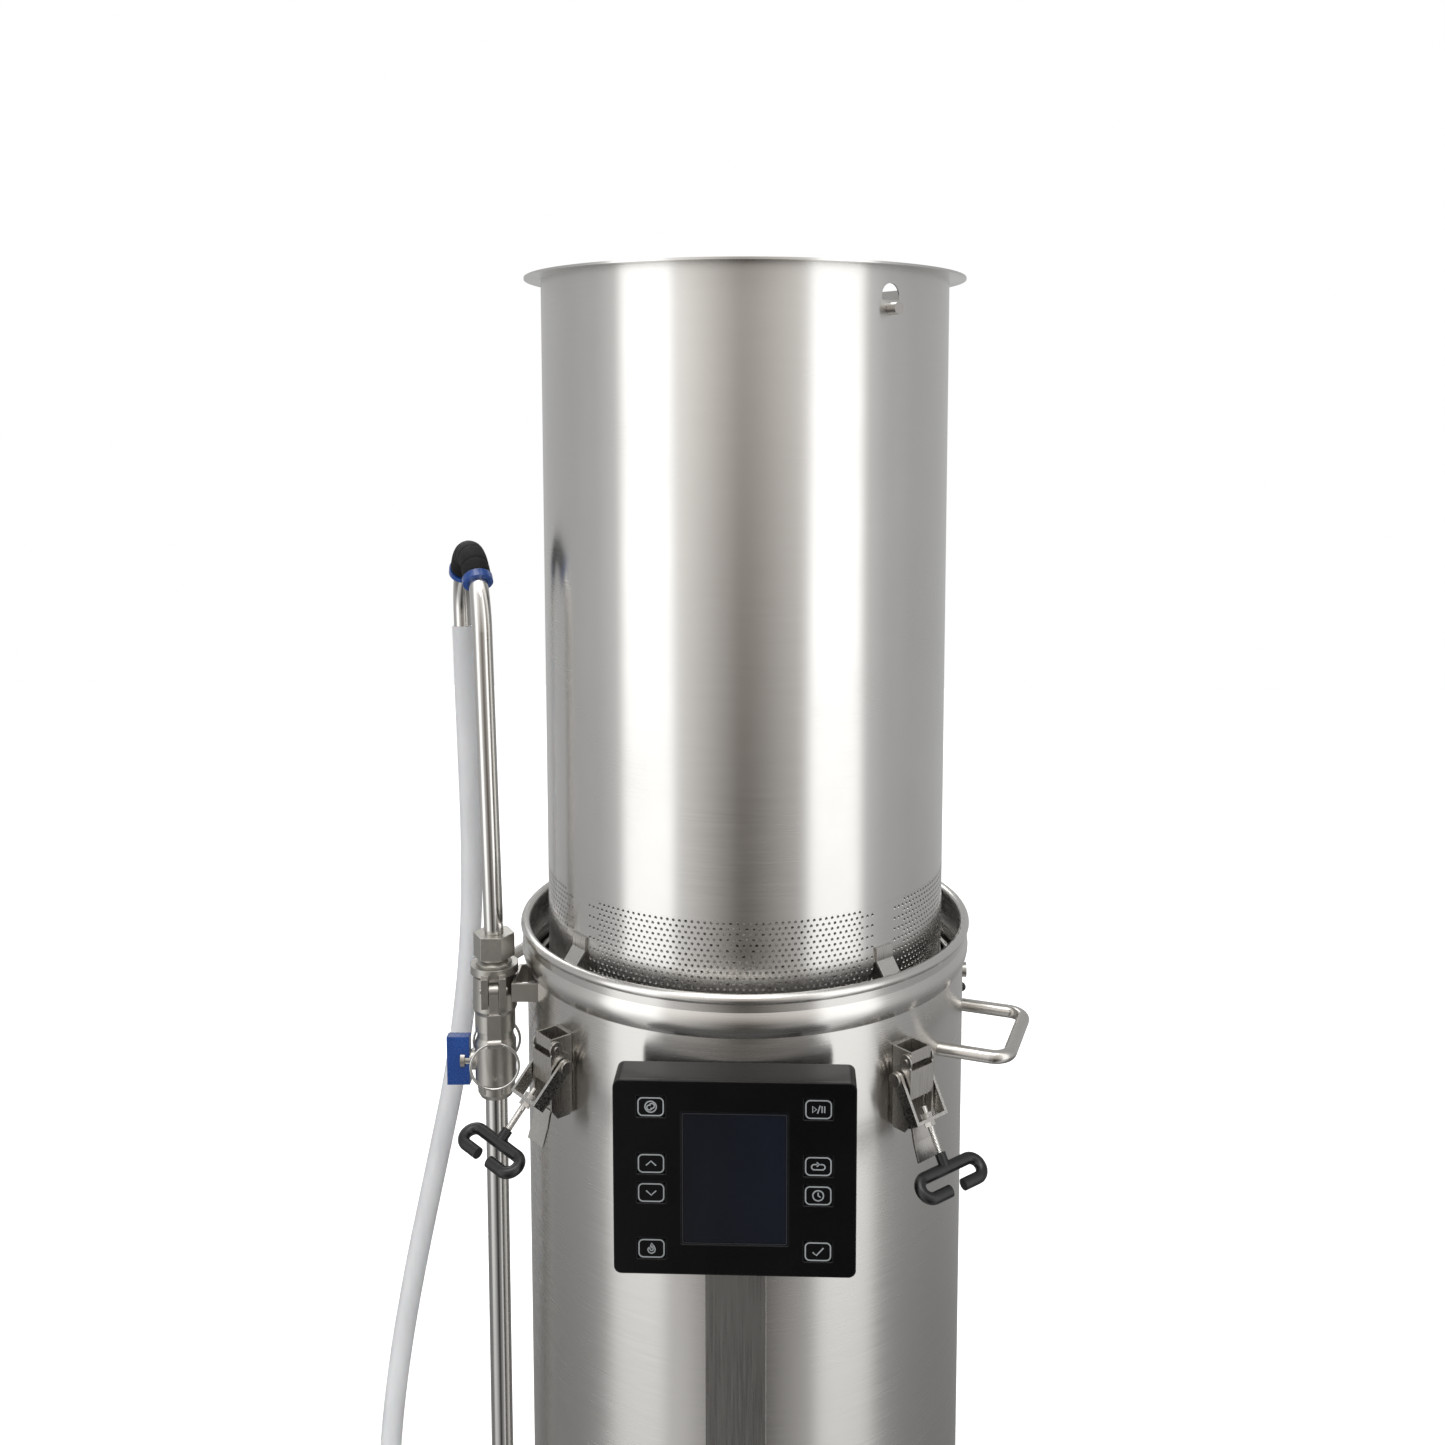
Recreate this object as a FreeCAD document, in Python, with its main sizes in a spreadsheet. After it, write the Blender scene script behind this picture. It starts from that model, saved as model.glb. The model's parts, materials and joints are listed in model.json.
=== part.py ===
import FreeCAD, Part
import math
import os
import Sketcher
from FreeCAD import Placement, Rotation, Vector

# Electric all-in-one brewer: a tall steel boiler on a base that holds the pump and the
# power parts, with a perforated malt pipe standing raised on a ring at the boiler's rim.
# Millimetres. The origin is the middle of the footprint on the floor, +Z is up and the
# control panel faces -Y. An azimuth is counted from the front (-Y) towards +X.

os.makedirs("parts", exist_ok=True)
doc = FreeCAD.newDocument("all_in_one_brewer")
sheet = doc.addObject("Spreadsheet::Sheet", "Sizes")

# ---------------------------------------------------------------- driving dimensions
DIMENSIONS = {
    # boiler
    "rim_height": 630, "wall_radius": 150, "wall_gauge": 1, "floor_height": 122,
    "floor_gauge": 1.5, "floor_corner": 5, "bead_radius": 3.2, "bead_offset": 0.8,
    "swage_drop": 24.5, "swage_depth": 14, "swage_bulge": 3.2, "swage_top": 8,
    "bead_neck_drop": 3.09, "bead_neck_offset": 0.83, "bead_inner_drop": 2.62,
    "bead_inner_offset": 1.84,
    # base
    "skirt_gauge": 2.5, "skirt_bottom": 12, "skirt_flare": 3, "flare_height": 20,
    "plate_gauge": 2, "foot_radius": 14, "foot_ring": 122, "foot_height": 12,
    "foot_screw_radius": 2.5, "foot_screw_head": 4.6, "slot_width": 4, "slot_height": 34,
    "slot_base": 52,
    # heating, pump and power parts inside the base
    "element_radius": 112, "element_bore": 34, "element_gauge": 6, "cutout_radius": 12,
    "cutout_height": 18, "probe_radius": 3, "probe_ring": 22, "probe_length": 28,
    "pump_ring": 70, "pump_azimuth": -72, "motor_radius": 30, "motor_top": 50,
    "volute_radius": 31, "volute_top": 78, "volute_wall": 4, "impeller_radius": 22,
    "impeller_base": 57, "impeller_top": 71, "nozzle_radius": 7, "nozzle_bore": 4.5,
    "nozzle_length": 14, "pump_hose_radius": 9.5, "pump_line_height": 64,
    "filter_radius": 21, "filter_height": 26, "board_gauge": 1.6, "gland_radius": 9,
    "gland_height": 46,
    # riser, valve and cam coupling
    "riser_x": -164.5, "riser_y": -53.5, "riser_turn": 2, "riser_radius": 7.25,
    "riser_gauge": 1.2, "riser_ring": 173, "riser_bend": 30, "flow_bore": 6,
    "valve_bottom": 109, "valve_top": 63, "valve_radius": 13.6, "valve_hex": 12.6,
    "valve_collar": 12, "ball_radius": 9.8, "ball_gap": 0.3, "stem_drop": 85,
    "stem_radius": 4, "stem_reach": 19, "running_gap": 0.05, "sleeve_width": 15,
    "sleeve_height": 33, "sleeve_gauge": 7, "lever_gauge": 2.4,
    "coupler_mouth": 18.5, "coupler_lip": 24, "coupler_lip_radius": 15.7,
    "coupler_radius": 14, "coupler_shoulder": 51, "coupler_foot_radius": 13.3,
    "coupler_bore": 11.6, "coupler_seat": 46, "cam_turn": 10, "lug_reach": 20.5,
    "lug_gauge": 4.6, "lug_gap": 7, "lug_top": 22, "lug_bottom": 42, "cam_reach": 16.5,
    "cam_drop": 31, "cam_lobe": 3.7, "cam_pin_radius": 1.8, "cam_width": 6.2, "cam_paddle": 9,
    "cam_end_drop": 68, "eye_rise": 2.4, "eye_radius": 3.1, "eye_bore": 2,
    "cam_paddle_drop": 46, "cam_outside": 20, "ring_radius": 15.5,
    "ring_wire": 0.9, "bracket_drop": 32.4, "bracket_height": 12.2, "bracket_half": 17,
    "bracket_gauge": 2, "bracket_web": 14,
    # gooseneck and its hose
    "adapter_top": 2, "adapter_hex": 13.6, "adapter_bottom": 45, "adapter_radius": 11.55,
    "neck_radius": 6.35, "neck_gauge": 1, "neck_rise": 249.4, "neck_reach": 92,
    "neck_turn": 19.1, "neck_lean": 1.15, "neck_outlet": 194.4, "grip_radius": 9.25,
    "grip_angle": 44,
    "collar_radius": 9.9, "collar_angle": 5.5, "hose_radius": 7.75, "hose_bore": 5.25,
    # malt pipe
    "malt_radius": 135, "malt_gauge": 0.8, "malt_length": 460, "malt_drop": 28,
    "malt_flange": 146, "malt_flange_gauge": 1.4, "malt_lip": 124, "malt_lip_gauge": 1.2,
    "foot_azimuth": 41.5, "tab_width": 14, "tab_gauge": 1.6, "tab_root": 15,
    "tab_bend": 6, "tab_step": 4, "tab_reach": 144.6, "tab_end": 31.2,
    "bail_azimuth": 42, "bail_pin_rise": 406, "bail_wire": 3.75, "bail_arc": 125.5,
    "bail_corner": 6, "bail_pin_end": 142, "window_half": 7.2, "window_rise": 411,
    "window_height": 10, "screen_gap": 0.4, "screen_gauge": 1.2, "screen_rim": 6,
    # support ring and pegs
    "support_radius": 144.4, "support_wire": 2.5, "support_drop": 34, "peg_azimuth": 88,
    "peg_drop": 38.5, "peg_radius": 2, "peg_head": 5, "peg_head_gauge": 3,
    "peg_inner": 143,
    # side handles
    "handle_azimuth": 72, "second_handle_azimuth": 246, "handle_bar": 4.3,
    "handle_half": 36, "handle_reach": 189, "handle_bend": 11, "handle_drop": 61.3,
    # latches
    "latch_azimuth": 42.5, "latch_lower": 1, "latch_top": 41, "latch_bottom": 92, "latch_half": 8.8,
    "latch_depth": 15.5, "latch_gauge": 1.2, "latch_strip": 7, "latch_cheek": 11,
    "latch_pin_reach": 12, "latch_pin_drop": 47.5, "latch_pin_radius": 1.8,
    "lever_inner": 9.1, "lever_wall": 1.2, "ear_radius": 4.6, "rivet_reach": 7.5,
    "rivet_drop": 59, "rivet_radius": 2.5, "rivet_head": 4.2, "bail_inner": 11.4,
    "bail_gauge": 2, "bail_width": 9, "bail_arm": 29, "rod_radius": 2,
    "rod_start": 20, "nut_radius": 3.7, "nut_height": 3, "coat_start": 48,
    "coat_radius": 3.4, "hook_drop": 57, "hook_bar": 3.6, "hook_half": 22.5,
    "hook_bend": 6.2, "hook_fold": 12.6, "hook_tip": 5, "hook_lean": 24,
    # control panel
    "panel_half": 70.5, "panel_front": 175, "panel_back": 151, "panel_top": 38.5,
    "panel_bottom": 156, "panel_corner": 4.5, "panel_wall": 2.4, "fascia_gauge": 2.6,
    "window_half_width": 31, "window_top": 57.2, "window_bottom": 137.4,
    "key_half_width": 8, "key_half_height": 6, "key_column": 48.4, "key_gap": 0.35,
    "key_corner": 1.9,
    "key_depth": 4, "mount_half": 46, "duct_half": 18, "duct_depth": 12,
}
KEY_ROWS = {"top": 54.3, "upper": 88.6, "lower": 106.3, "bottom": 140.4}
for row, (alias, amount) in enumerate(DIMENSIONS.items(), start=1):
    sheet.set("A%d" % row, alias)
    sheet.set("B%d" % row, str(amount))
    sheet.setAlias("B%d" % row, alias)
doc.recompute()


class Size:
    """A number together with the spreadsheet expression that it comes from."""

    def __init__(self, value, text):
        self.value = value
        self.text = text

    def __add__(self, other):
        return Size(self.value + number(other), "(%s + %s)" % (self.text, words(other)))

    def __radd__(self, other):
        return self + other

    def __sub__(self, other):
        return Size(self.value - number(other), "(%s - %s)" % (self.text, words(other)))

    def __rsub__(self, other):
        return Size(number(other) - self.value, "(%s - %s)" % (words(other), self.text))

    def __mul__(self, other):
        return Size(self.value * number(other), "(%s * %s)" % (self.text, words(other)))

    def __rmul__(self, other):
        return self * other

    def __neg__(self):
        return self * -1


def number(amount):
    return amount.value if isinstance(amount, Size) else float(amount)


def words(amount):
    return amount.text if isinstance(amount, Size) else "%.9g" % amount


class Named:
    """Gives the driving dimensions as attributes: S.rim_height and so on."""

    def __getattr__(self, alias):
        return Size(float(sheet.get(alias)), "Sizes." + alias)


S = Named()


def rim(drop):
    """A height, given as the distance below the boiler's rim."""
    return S.rim_height - drop


# ---------------------------------------------------------------- building blocks
AXES = {
    "Z": Rotation(),
    "-Z": Rotation(Vector(1, 0, 0), 180),
    "X": Rotation(Vector(0, 1, 0), 90),
    "-X": Rotation(Vector(0, 1, 0), -90),
    "Y": Rotation(Vector(1, 0, 0), -90),
    "-Y": Rotation(Vector(1, 0, 0), 90),
}
SQUARE = (0, 90, 180, 270)
nodes = []


def bind(item, name, amount):
    if isinstance(amount, Size):
        item.setExpression(name, amount.text)
    else:
        setattr(item, name, amount)


def place(item, at=(0, 0, 0), turn=None):
    """Puts an item somewhere; each Size in `at` stays bound to the sheet."""
    spot = Vector(*[number(amount) for amount in at])
    item.Placement = Placement(spot, turn or Rotation())
    for letter, amount in zip("xyz", at):
        if isinstance(amount, Size):
            item.setExpression("Placement.Base." + letter, amount.text)
    return item


def about_z(azimuth):
    return Rotation(Vector(0, 0, 1), number(azimuth))


def box(low, high):
    item = doc.addObject("Part::Box", "Block")
    for name, start, end in zip(("Length", "Width", "Height"), low, high):
        bind(item, name, end - start)
    return place(item, low)


def cylinder(radius, at, length, axis="Z"):
    item = doc.addObject("Part::Cylinder", "Round")
    bind(item, "Radius", radius)
    bind(item, "Height", length)
    return place(item, at, AXES[axis])


def torus(ring, wire, height):
    item = doc.addObject("Part::Torus", "Ring")
    bind(item, "Radius1", ring)
    bind(item, "Radius2", wire)
    return place(item, (0, 0, height))


def hexagon(radius, at, length, axis="Z"):
    item = doc.addObject("Part::Prism", "Hexagon")
    item.Polygon = 6
    bind(item, "Circumradius", radius)
    bind(item, "Height", length)
    return place(item, at, AXES[axis])


def cut(base, *tools):
    item = doc.addObject("Part::Cut", "Cut")
    item.Base = base
    item.Tool = tools[0] if len(tools) == 1 else join(*tools)
    return item


def join(*pieces):
    item = doc.addObject("Part::MultiFuse", "Joined")
    item.Shapes = list(pieces)
    item.Refine = True
    return item


def overlap(first, second):
    item = doc.addObject("Part::Common", "Overlap")
    item.Base = first
    item.Tool = second
    return item


def group(*pieces, at=(0, 0, 0), turn=None):
    item = doc.addObject("Part::Compound", "Group")
    item.Links = list(pieces)
    return place(item, at, turn)


def at_azimuth(azimuth, *pieces):
    return group(*pieces, turn=about_z(azimuth))


def in_riser_frame(*pieces, turn=0):
    """Moves pieces that are drawn about the Z axis onto the riser's axis."""
    angle = number(S.riser_turn) + number(turn)
    return group(*pieces, at=(S.riser_x, S.riser_y, 0), turn=about_z(angle))


def node(item, name):
    """Names a finished sub-part; its label is also the name of its file."""
    item.Label = name
    nodes.append(item)
    return item


def body_plane(body, role):
    return [plane for plane in body.Origin.OriginFeatures if plane.Role == role][0]


def outline_sketch(body, role, outline):
    """Draws a closed outline of (x, y) corners; (x, y, mx, my) reaches its corner by an arc
    through (mx, my). Every corner is held by two distances bound to the sheet. Each arc is
    added anticlockwise, the way round that a sketch keeps it."""
    sketch = body.newObject("Sketcher::SketchObject", "Outline")
    sketch.AttachmentSupport = [(body_plane(body, role), "")]
    sketch.MapMode = "FlatFace"
    corners = [Vector(number(step[0]), number(step[1]), 0) for step in outline]
    count = len(outline)
    for index in range(count):
        start = corners[index]
        step = outline[(index + 1) % count]
        end = corners[(index + 1) % count]
        if len(step) == 4:
            middle = Vector(number(step[2]), number(step[3]), 0)
            if (middle - start).cross(end - middle).z < 0:
                start, end = end, start
            sketch.addGeometry(Part.Arc(start, middle, end), False)
        else:
            sketch.addGeometry(Part.LineSegment(start, end), False)
    ends = []
    for index in range(count):
        first = 1
        piece = sketch.Geometry[index]
        if (piece.StartPoint - corners[index]).Length > (piece.EndPoint - corners[index]).Length:
            first = 2
        ends.append((first, 3 - first))
    for index in range(count):
        after = (index + 1) % count
        tie = Sketcher.Constraint("Coincident", index, ends[index][1], after, ends[after][0])
        sketch.addConstraint(tie)
    for index, step in enumerate(outline):
        for letter, amount in zip("XY", step[:2]):
            value = number(amount)
            if abs(value) < 1e-9:
                axis = -2 if letter == "X" else -1
                sketch.addConstraint(Sketcher.Constraint("PointOnObject", index, ends[index][0], axis))
                continue
            held = Sketcher.Constraint("Distance" + letter, -1, 1, index, ends[index][0], value)
            order = sketch.addConstraint(held)
            title = "corner%d%s" % (index, letter)
            sketch.renameConstraint(order, title)
            if isinstance(amount, Size):
                sketch.setExpression("Constraints." + title, amount.text)
    return sketch


def turned(outline, at=(0, 0, 0)):
    """A body turned about Z from an outline of (radius, height) corners."""
    body = doc.addObject("PartDesign::Body", "Turned")
    sketch = outline_sketch(body, "XZ_Plane", outline)
    solid = body.newObject("PartDesign::Revolution", "Revolution")
    solid.Profile = sketch
    solid.ReferenceAxis = (sketch, ["V_Axis"])
    solid.Angle = 360
    return place(body, at)


def tube(outer, inner, low, high):
    return turned([(inner, low), (outer, low), (outer, high), (inner, high)])


def plate(outline, width, role="YZ_Plane"):
    """A body padded evenly to both sides of an origin plane from a closed outline."""
    body = doc.addObject("PartDesign::Body", "Plate")
    sketch = outline_sketch(body, role, outline)
    solid = body.newObject("PartDesign::Pad", "Pad")
    solid.Profile = sketch
    solid.Midplane = True
    bind(solid, "Length", width)
    return body


def bent_wire(points, radii):
    """Straight runs joined by tangent arcs; radii holds one radius for each inner point."""
    edges = []
    start = points[0]
    for before, corner, after, radius in zip(points, points[1:], points[2:], radii):
        inward = (before - corner).normalize()
        onward = (after - corner).normalize()
        half = inward.getAngle(onward) / 2
        leg = radius / math.tan(half)
        middle = corner + (inward + onward).normalize() * (radius / math.sin(half) - radius)
        first = corner + inward * leg
        last = corner + onward * leg
        if (first - start).Length > 1e-4:
            edges.append(Part.LineSegment(start, first).toShape())
        edges.append(Part.Arc(first, middle, last).toShape())
        start = last
    if (points[-1] - start).Length > 1e-4:
        edges.append(Part.LineSegment(start, points[-1]).toShape())
    return Part.Wire(edges)


def swept(wire, radius):
    """A round bar whose section follows a wire."""
    spine = doc.addObject("Part::Feature", "Spine")
    spine.Shape = wire
    first = wire.OrderedEdges[0]
    section = doc.addObject("Part::Circle", "Section")
    bind(section, "Radius", radius)
    heading = first.tangentAt(first.FirstParameter)
    if first.valueAt(first.FirstParameter).distanceToPoint(wire.OrderedVertexes[0].Point) > 1e-6:
        heading = first.tangentAt(first.LastParameter) * -1
    place(section, wire.OrderedVertexes[0].Point, Rotation(Vector(0, 0, 1), heading))
    bar = doc.addObject("Part::Sweep", "Sweep")
    bar.Sections = [section]
    bar.Spine = (spine, ["Edge%d" % (order + 1) for order in range(len(wire.Edges))])
    bar.Solid = True
    bar.Frenet = False
    return bar


def pipe(wire, radius, bore):
    return cut(swept(wire, radius), swept(wire, bore))


# ---------------------------------------------------------------- boiler
def boiler_shell():
    wall, gauge, base = S.wall_radius, S.wall_gauge, S.floor_height
    under = base - S.floor_gauge
    crown = wall + S.bead_offset
    neck = wall + S.bead_neck_offset + S.bead_offset
    bulge = wall + S.swage_bulge
    outline = [
        (0, under),
        (wall - S.floor_corner, under),
        (wall, under + S.floor_corner, wall - 0.293 * S.floor_corner, under + 0.293 * S.floor_corner),
        (wall, rim(S.swage_drop)),
        (neck - 0.03, rim(S.swage_top), bulge, rim(S.swage_depth)),
        (neck, rim(S.bead_neck_drop)),
        (crown, rim(-S.bead_radius), crown + S.bead_radius, rim(0)),
        (crown - S.bead_inner_offset, rim(S.bead_inner_drop), crown - S.bead_radius, rim(0)),
        (neck - gauge, rim(S.swage_top)),
        (wall - gauge, rim(S.swage_drop), bulge - gauge, rim(S.swage_depth)),
        (wall - gauge, base + S.floor_corner),
        (wall - S.floor_corner - gauge, base,
         wall - gauge - 0.293 * S.floor_corner, base + 0.293 * S.floor_corner),
        (0, base),
    ]
    below = under - 1
    depth = S.floor_gauge + 2
    drain = at_azimuth(S.pump_azimuth, cylinder(S.nozzle_radius, (0, -S.pump_ring, below), depth))
    stub = tube(S.nozzle_radius, S.nozzle_bore, under - 14, base)
    welded = at_azimuth(S.pump_azimuth, group(stub, at=(0, -S.pump_ring, 0)))
    probe = cylinder(S.probe_radius + S.running_gap, (0, S.probe_ring, below), depth)
    pegs = [at_azimuth(S.peg_azimuth + turn,
                       cylinder(S.peg_radius, (0, 2 - S.wall_radius, rim(S.peg_drop)), 4, "-Y"))
            for turn in SQUARE[:3]]
    node(join(cut(turned(outline), drain, probe, *pegs), welded), "boiler_shell")


def support_ring():
    node(torus(S.support_radius, S.support_wire, rim(S.support_drop)), "support_ring")
    pegs = []
    for turn in SQUARE[:3]:
        stud = cylinder(S.peg_radius, (0, -S.peg_inner, rim(S.peg_drop)),
                        S.wall_radius - S.peg_inner, "-Y")
        head = cylinder(S.peg_head, (0, -S.wall_radius, rim(S.peg_drop)), S.peg_head_gauge, "-Y")
        pegs.append(at_azimuth(S.peg_azimuth + turn, join(stud, head)))
    inner_wall = S.wall_radius - S.wall_gauge
    pegs.append(at_azimuth(S.peg_azimuth - 90, cylinder(
        S.peg_radius, (0, -S.peg_inner, rim(S.peg_drop)), inner_wall - S.peg_inner, "-Y")))
    node(group(*pegs), "ring_pegs")


def side_handles():
    """Bent bars whose ends are cut to the curve of the wall, each with two weld pads."""
    bars = []
    half, reach, low = number(S.handle_half), number(S.handle_reach), number(rim(S.handle_drop))
    inside = number(S.wall_radius) - 20
    for azimuth in (S.handle_azimuth, S.second_handle_azimuth):
        corners = [Vector(-half, -inside, low), Vector(-half, -reach, low),
                   Vector(half, -reach, low), Vector(half, -inside, low)]
        bar = swept(bent_wire(corners, [number(S.handle_bend)] * 2), S.handle_bar)
        bars.append(at_azimuth(azimuth, bar))
    wall = cylinder(S.wall_radius, (0, 0, rim(S.handle_drop + 20)), 40)
    node(cut(group(*bars), wall), "side_handles")


# ---------------------------------------------------------------- base
def base_skirt():
    wall, gauge = S.wall_radius, S.skirt_gauge
    low, top = S.skirt_bottom, S.floor_height - S.floor_gauge
    flare = wall + S.skirt_flare
    step = low + S.flare_height
    shell = turned([
        (flare - gauge, low), (flare, low), (flare, step - 3), (wall, step + 3), (wall, top),
        (wall - gauge, top), (wall - gauge, step + 3), (flare - gauge, step - 3)])
    depth = S.wall_radius + 10
    slots = []
    for order in range(15):
        azimuth = 117 + 9 * order
        if 170 < azimuth < 190:
            continue
        slot = box((S.slot_width * -0.5, -depth, S.slot_base),
                   (S.slot_width * 0.5, -S.element_radius - 20, S.slot_base + S.slot_height))
        slots.append(at_azimuth(azimuth, slot))
    pipe_hole = at_azimuth(S.pump_azimuth, cylinder(
        S.riser_radius + 1, (0, -S.element_radius, S.pump_line_height), 60, "-Y"))
    gland_hole = cylinder(S.gland_radius - 2, (0, S.element_radius, S.gland_height), 60, "Y")
    node(cut(shell, group(*slots), pipe_hole, gland_hole), "base_skirt")


def base_plate():
    low = S.skirt_bottom
    disc = cylinder(S.wall_radius + S.skirt_flare - S.skirt_gauge, (0, 0, low), S.plate_gauge)
    holes = []
    for turn in SQUARE:
        holes.append(at_azimuth(45 + turn, cylinder(
            S.foot_screw_radius, (0, -S.foot_ring, low - 1), S.plate_gauge + 2)))
    for order in range(9):
        slot = box((10, -80 + 14 * order, 11), (70, -74 + 14 * order, 16))
        holes.append(slot)
    node(cut(disc, *holes), "base_plate")


def feet_and_screws():
    """Rubber feet with a recess for the screw that holds each one to the base plate."""
    shank, head = S.foot_screw_radius, S.foot_screw_head
    foot = turned([
        (shank, 7), (head + 0.4, 7), (head + 0.4, 0), (S.foot_radius - 2, 0),
        (S.foot_radius - 1, 1), (S.foot_radius, S.foot_height), (shank, S.foot_height)])
    screw = turned([
        (0, 4), (head - 1, 4), (head, 5), (head, 7), (shank, 7),
        (shank, S.foot_height + S.plate_gauge + 4), (0, S.foot_height + S.plate_gauge + 4)])
    feet = [group(foot, at=(0, -S.foot_ring, 0)), group(screw, at=(0, -S.foot_ring, 0))]
    node(group(*[at_azimuth(45 + turn, feet[0]) for turn in SQUARE]), "rubber_feet")
    node(group(*[at_azimuth(45 + turn, feet[1]) for turn in SQUARE]), "foot_screws")


def heating_parts():
    under = S.floor_height - S.floor_gauge
    disc = tube(S.element_radius, S.element_bore, under - S.element_gauge, under)
    drain = at_azimuth(S.pump_azimuth, cylinder(
        S.pump_hose_radius + 2, (0, -S.pump_ring, under - 10), 20))
    node(cut(disc, drain), "heating_element")
    cutout = turned([
        (0, under - S.cutout_height), (4, under - S.cutout_height), (4, under - 12),
        (S.cutout_radius, under - 12), (S.cutout_radius, under), (0, under)])
    node(cutout, "thermal_cutout")
    probe = turned([
        (0, under - 10), (S.probe_radius + 3, under - 10), (S.probe_radius + 3, under),
        (S.probe_radius, under), (S.probe_radius, under + S.probe_length),
        (0, under + S.probe_length)], at=(0, S.probe_ring, 0))
    node(probe, "temperature_probe")
    low, high, out = S.floor_height, S.floor_height + S.filter_height, S.filter_radius
    strainer = turned([
        (out - 1, low), (out, low), (out, high - 4), (out - 4, high, out - 1.2, high - 1.2),
        (0, high), (0, high - 1), (out - 4.4, high - 1), (out - 1, high - 4.4)])
    node(at_azimuth(S.pump_azimuth, group(strainer, at=(0, -S.pump_ring, 0))), "pump_filter")


def pump():
    """The pump stands on the base plate with its shaft upright."""
    low = S.skirt_bottom + S.plate_gauge
    line, wall = S.pump_line_height, S.volute_wall
    motor = turned([
        (0, low), (S.motor_radius + 5, low), (S.motor_radius + 5, low + 3),
        (S.motor_radius, low + 3), (S.motor_radius, S.motor_top - 3),
        (S.motor_radius - 3, S.motor_top), (0, S.motor_top)])
    outer, top = S.volute_radius, S.volute_top
    cavity_low, cavity_top = S.motor_top + wall, S.volute_top - wall
    inner = outer - wall
    case = join(
        turned([(0, S.motor_top), (outer, S.motor_top), (outer, top), (0, top)]),
        cylinder(S.nozzle_radius, (0, 0, top - 1), S.nozzle_length + 1),
        cylinder(S.nozzle_radius, (0, 2 - outer, line), S.nozzle_length + 2, "-Y"))
    hollow = [
        turned([(0, cavity_low), (inner, cavity_low), (inner, cavity_top), (0, cavity_top)]),
        cylinder(S.nozzle_bore, (0, 0, cavity_top - 1), S.nozzle_length + wall + 2),
        cylinder(S.nozzle_bore, (0, 2 - inner, line), S.nozzle_length + wall + 6, "-Y")]
    stub = turned([
        (3, cavity_low - 1), (3, cavity_low + 14), (0, cavity_low + 14), (0, cavity_low - 1)])
    housing = join(cut(case, *hollow), stub)
    hub = turned([
        (3 + S.running_gap, S.impeller_base), (S.impeller_radius, S.impeller_base),
        (S.impeller_radius, S.impeller_base + 2), (8, S.impeller_base + 3),
        (7, S.impeller_top), (3 + S.running_gap, S.impeller_top)])
    vanes = [group(box((6.5, -1, S.impeller_base + 1), (S.impeller_radius - 1, 1, S.impeller_top)),
                   turn=about_z(60 * order)) for order in range(6)]
    rotor = join(hub, *vanes)
    here = {"at": (0, -S.pump_ring, 0)}
    for item, name in ((motor, "pump_motor"), (housing, "pump_housing"), (rotor, "pump_impeller")):
        node(at_azimuth(S.pump_azimuth, group(item, **here)), name)


def pump_hoses():
    """Short silicone sleeves: boiler drain to pump, and pump to riser."""
    drain_low = S.floor_height - S.floor_gauge - 14
    sleeve = tube(S.pump_hose_radius, S.nozzle_radius, S.volute_top + 2, drain_low + 12)
    start = S.pump_ring + S.volute_radius + 2
    length = 36
    line = cut(cylinder(S.pump_hose_radius, (0, -start, S.pump_line_height), length, "-Y"),
               cylinder(S.riser_radius, (0, -start, S.pump_line_height), length, "-Y"))
    node(at_azimuth(S.pump_azimuth, group(sleeve, at=(0, -S.pump_ring, 0)), line), "pump_hoses")


def power_parts():
    low = S.skirt_bottom + S.plate_gauge
    board = box((20, 40, low + 8), (100, 96, low + 8 + S.board_gauge))
    relay = box((30, 50, low + 8 + S.board_gauge), (56, 66, low + 30))
    triac = box((66, 48, low + 8 + S.board_gauge), (86, 60, low + 34))
    posts = [cylinder(3, (x, y, low), 8) for x in (25, 95) for y in (45, 91)]
    node(join(board, relay, triac, *posts), "power_board")
    out = S.wall_radius
    gland = turned([
        (5, -4), (S.gland_radius + 3, -4), (S.gland_radius + 3, 0), (S.gland_radius, 0),
        (S.gland_radius, 9), (S.gland_radius - 1, 14), (5, 14)])
    node(group(gland, at=(0, out + 4, S.gland_height), turn=AXES["Y"]), "mains_gland")


# ---------------------------------------------------------------- riser and coupling
def riser_pipe():
    ring, line = number(S.riser_ring), number(S.pump_line_height)
    wire = bent_wire([Vector(0, -ring, number(rim(S.valve_bottom))), Vector(0, -ring, line),
                      Vector(0, -number(S.pump_ring + S.volute_radius) - 20, line)],
                     [number(S.riser_bend)])
    item = pipe(wire, S.riser_radius, S.riser_radius - S.riser_gauge)
    node(at_azimuth(S.pump_azimuth, item), "riser_pipe")


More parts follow.
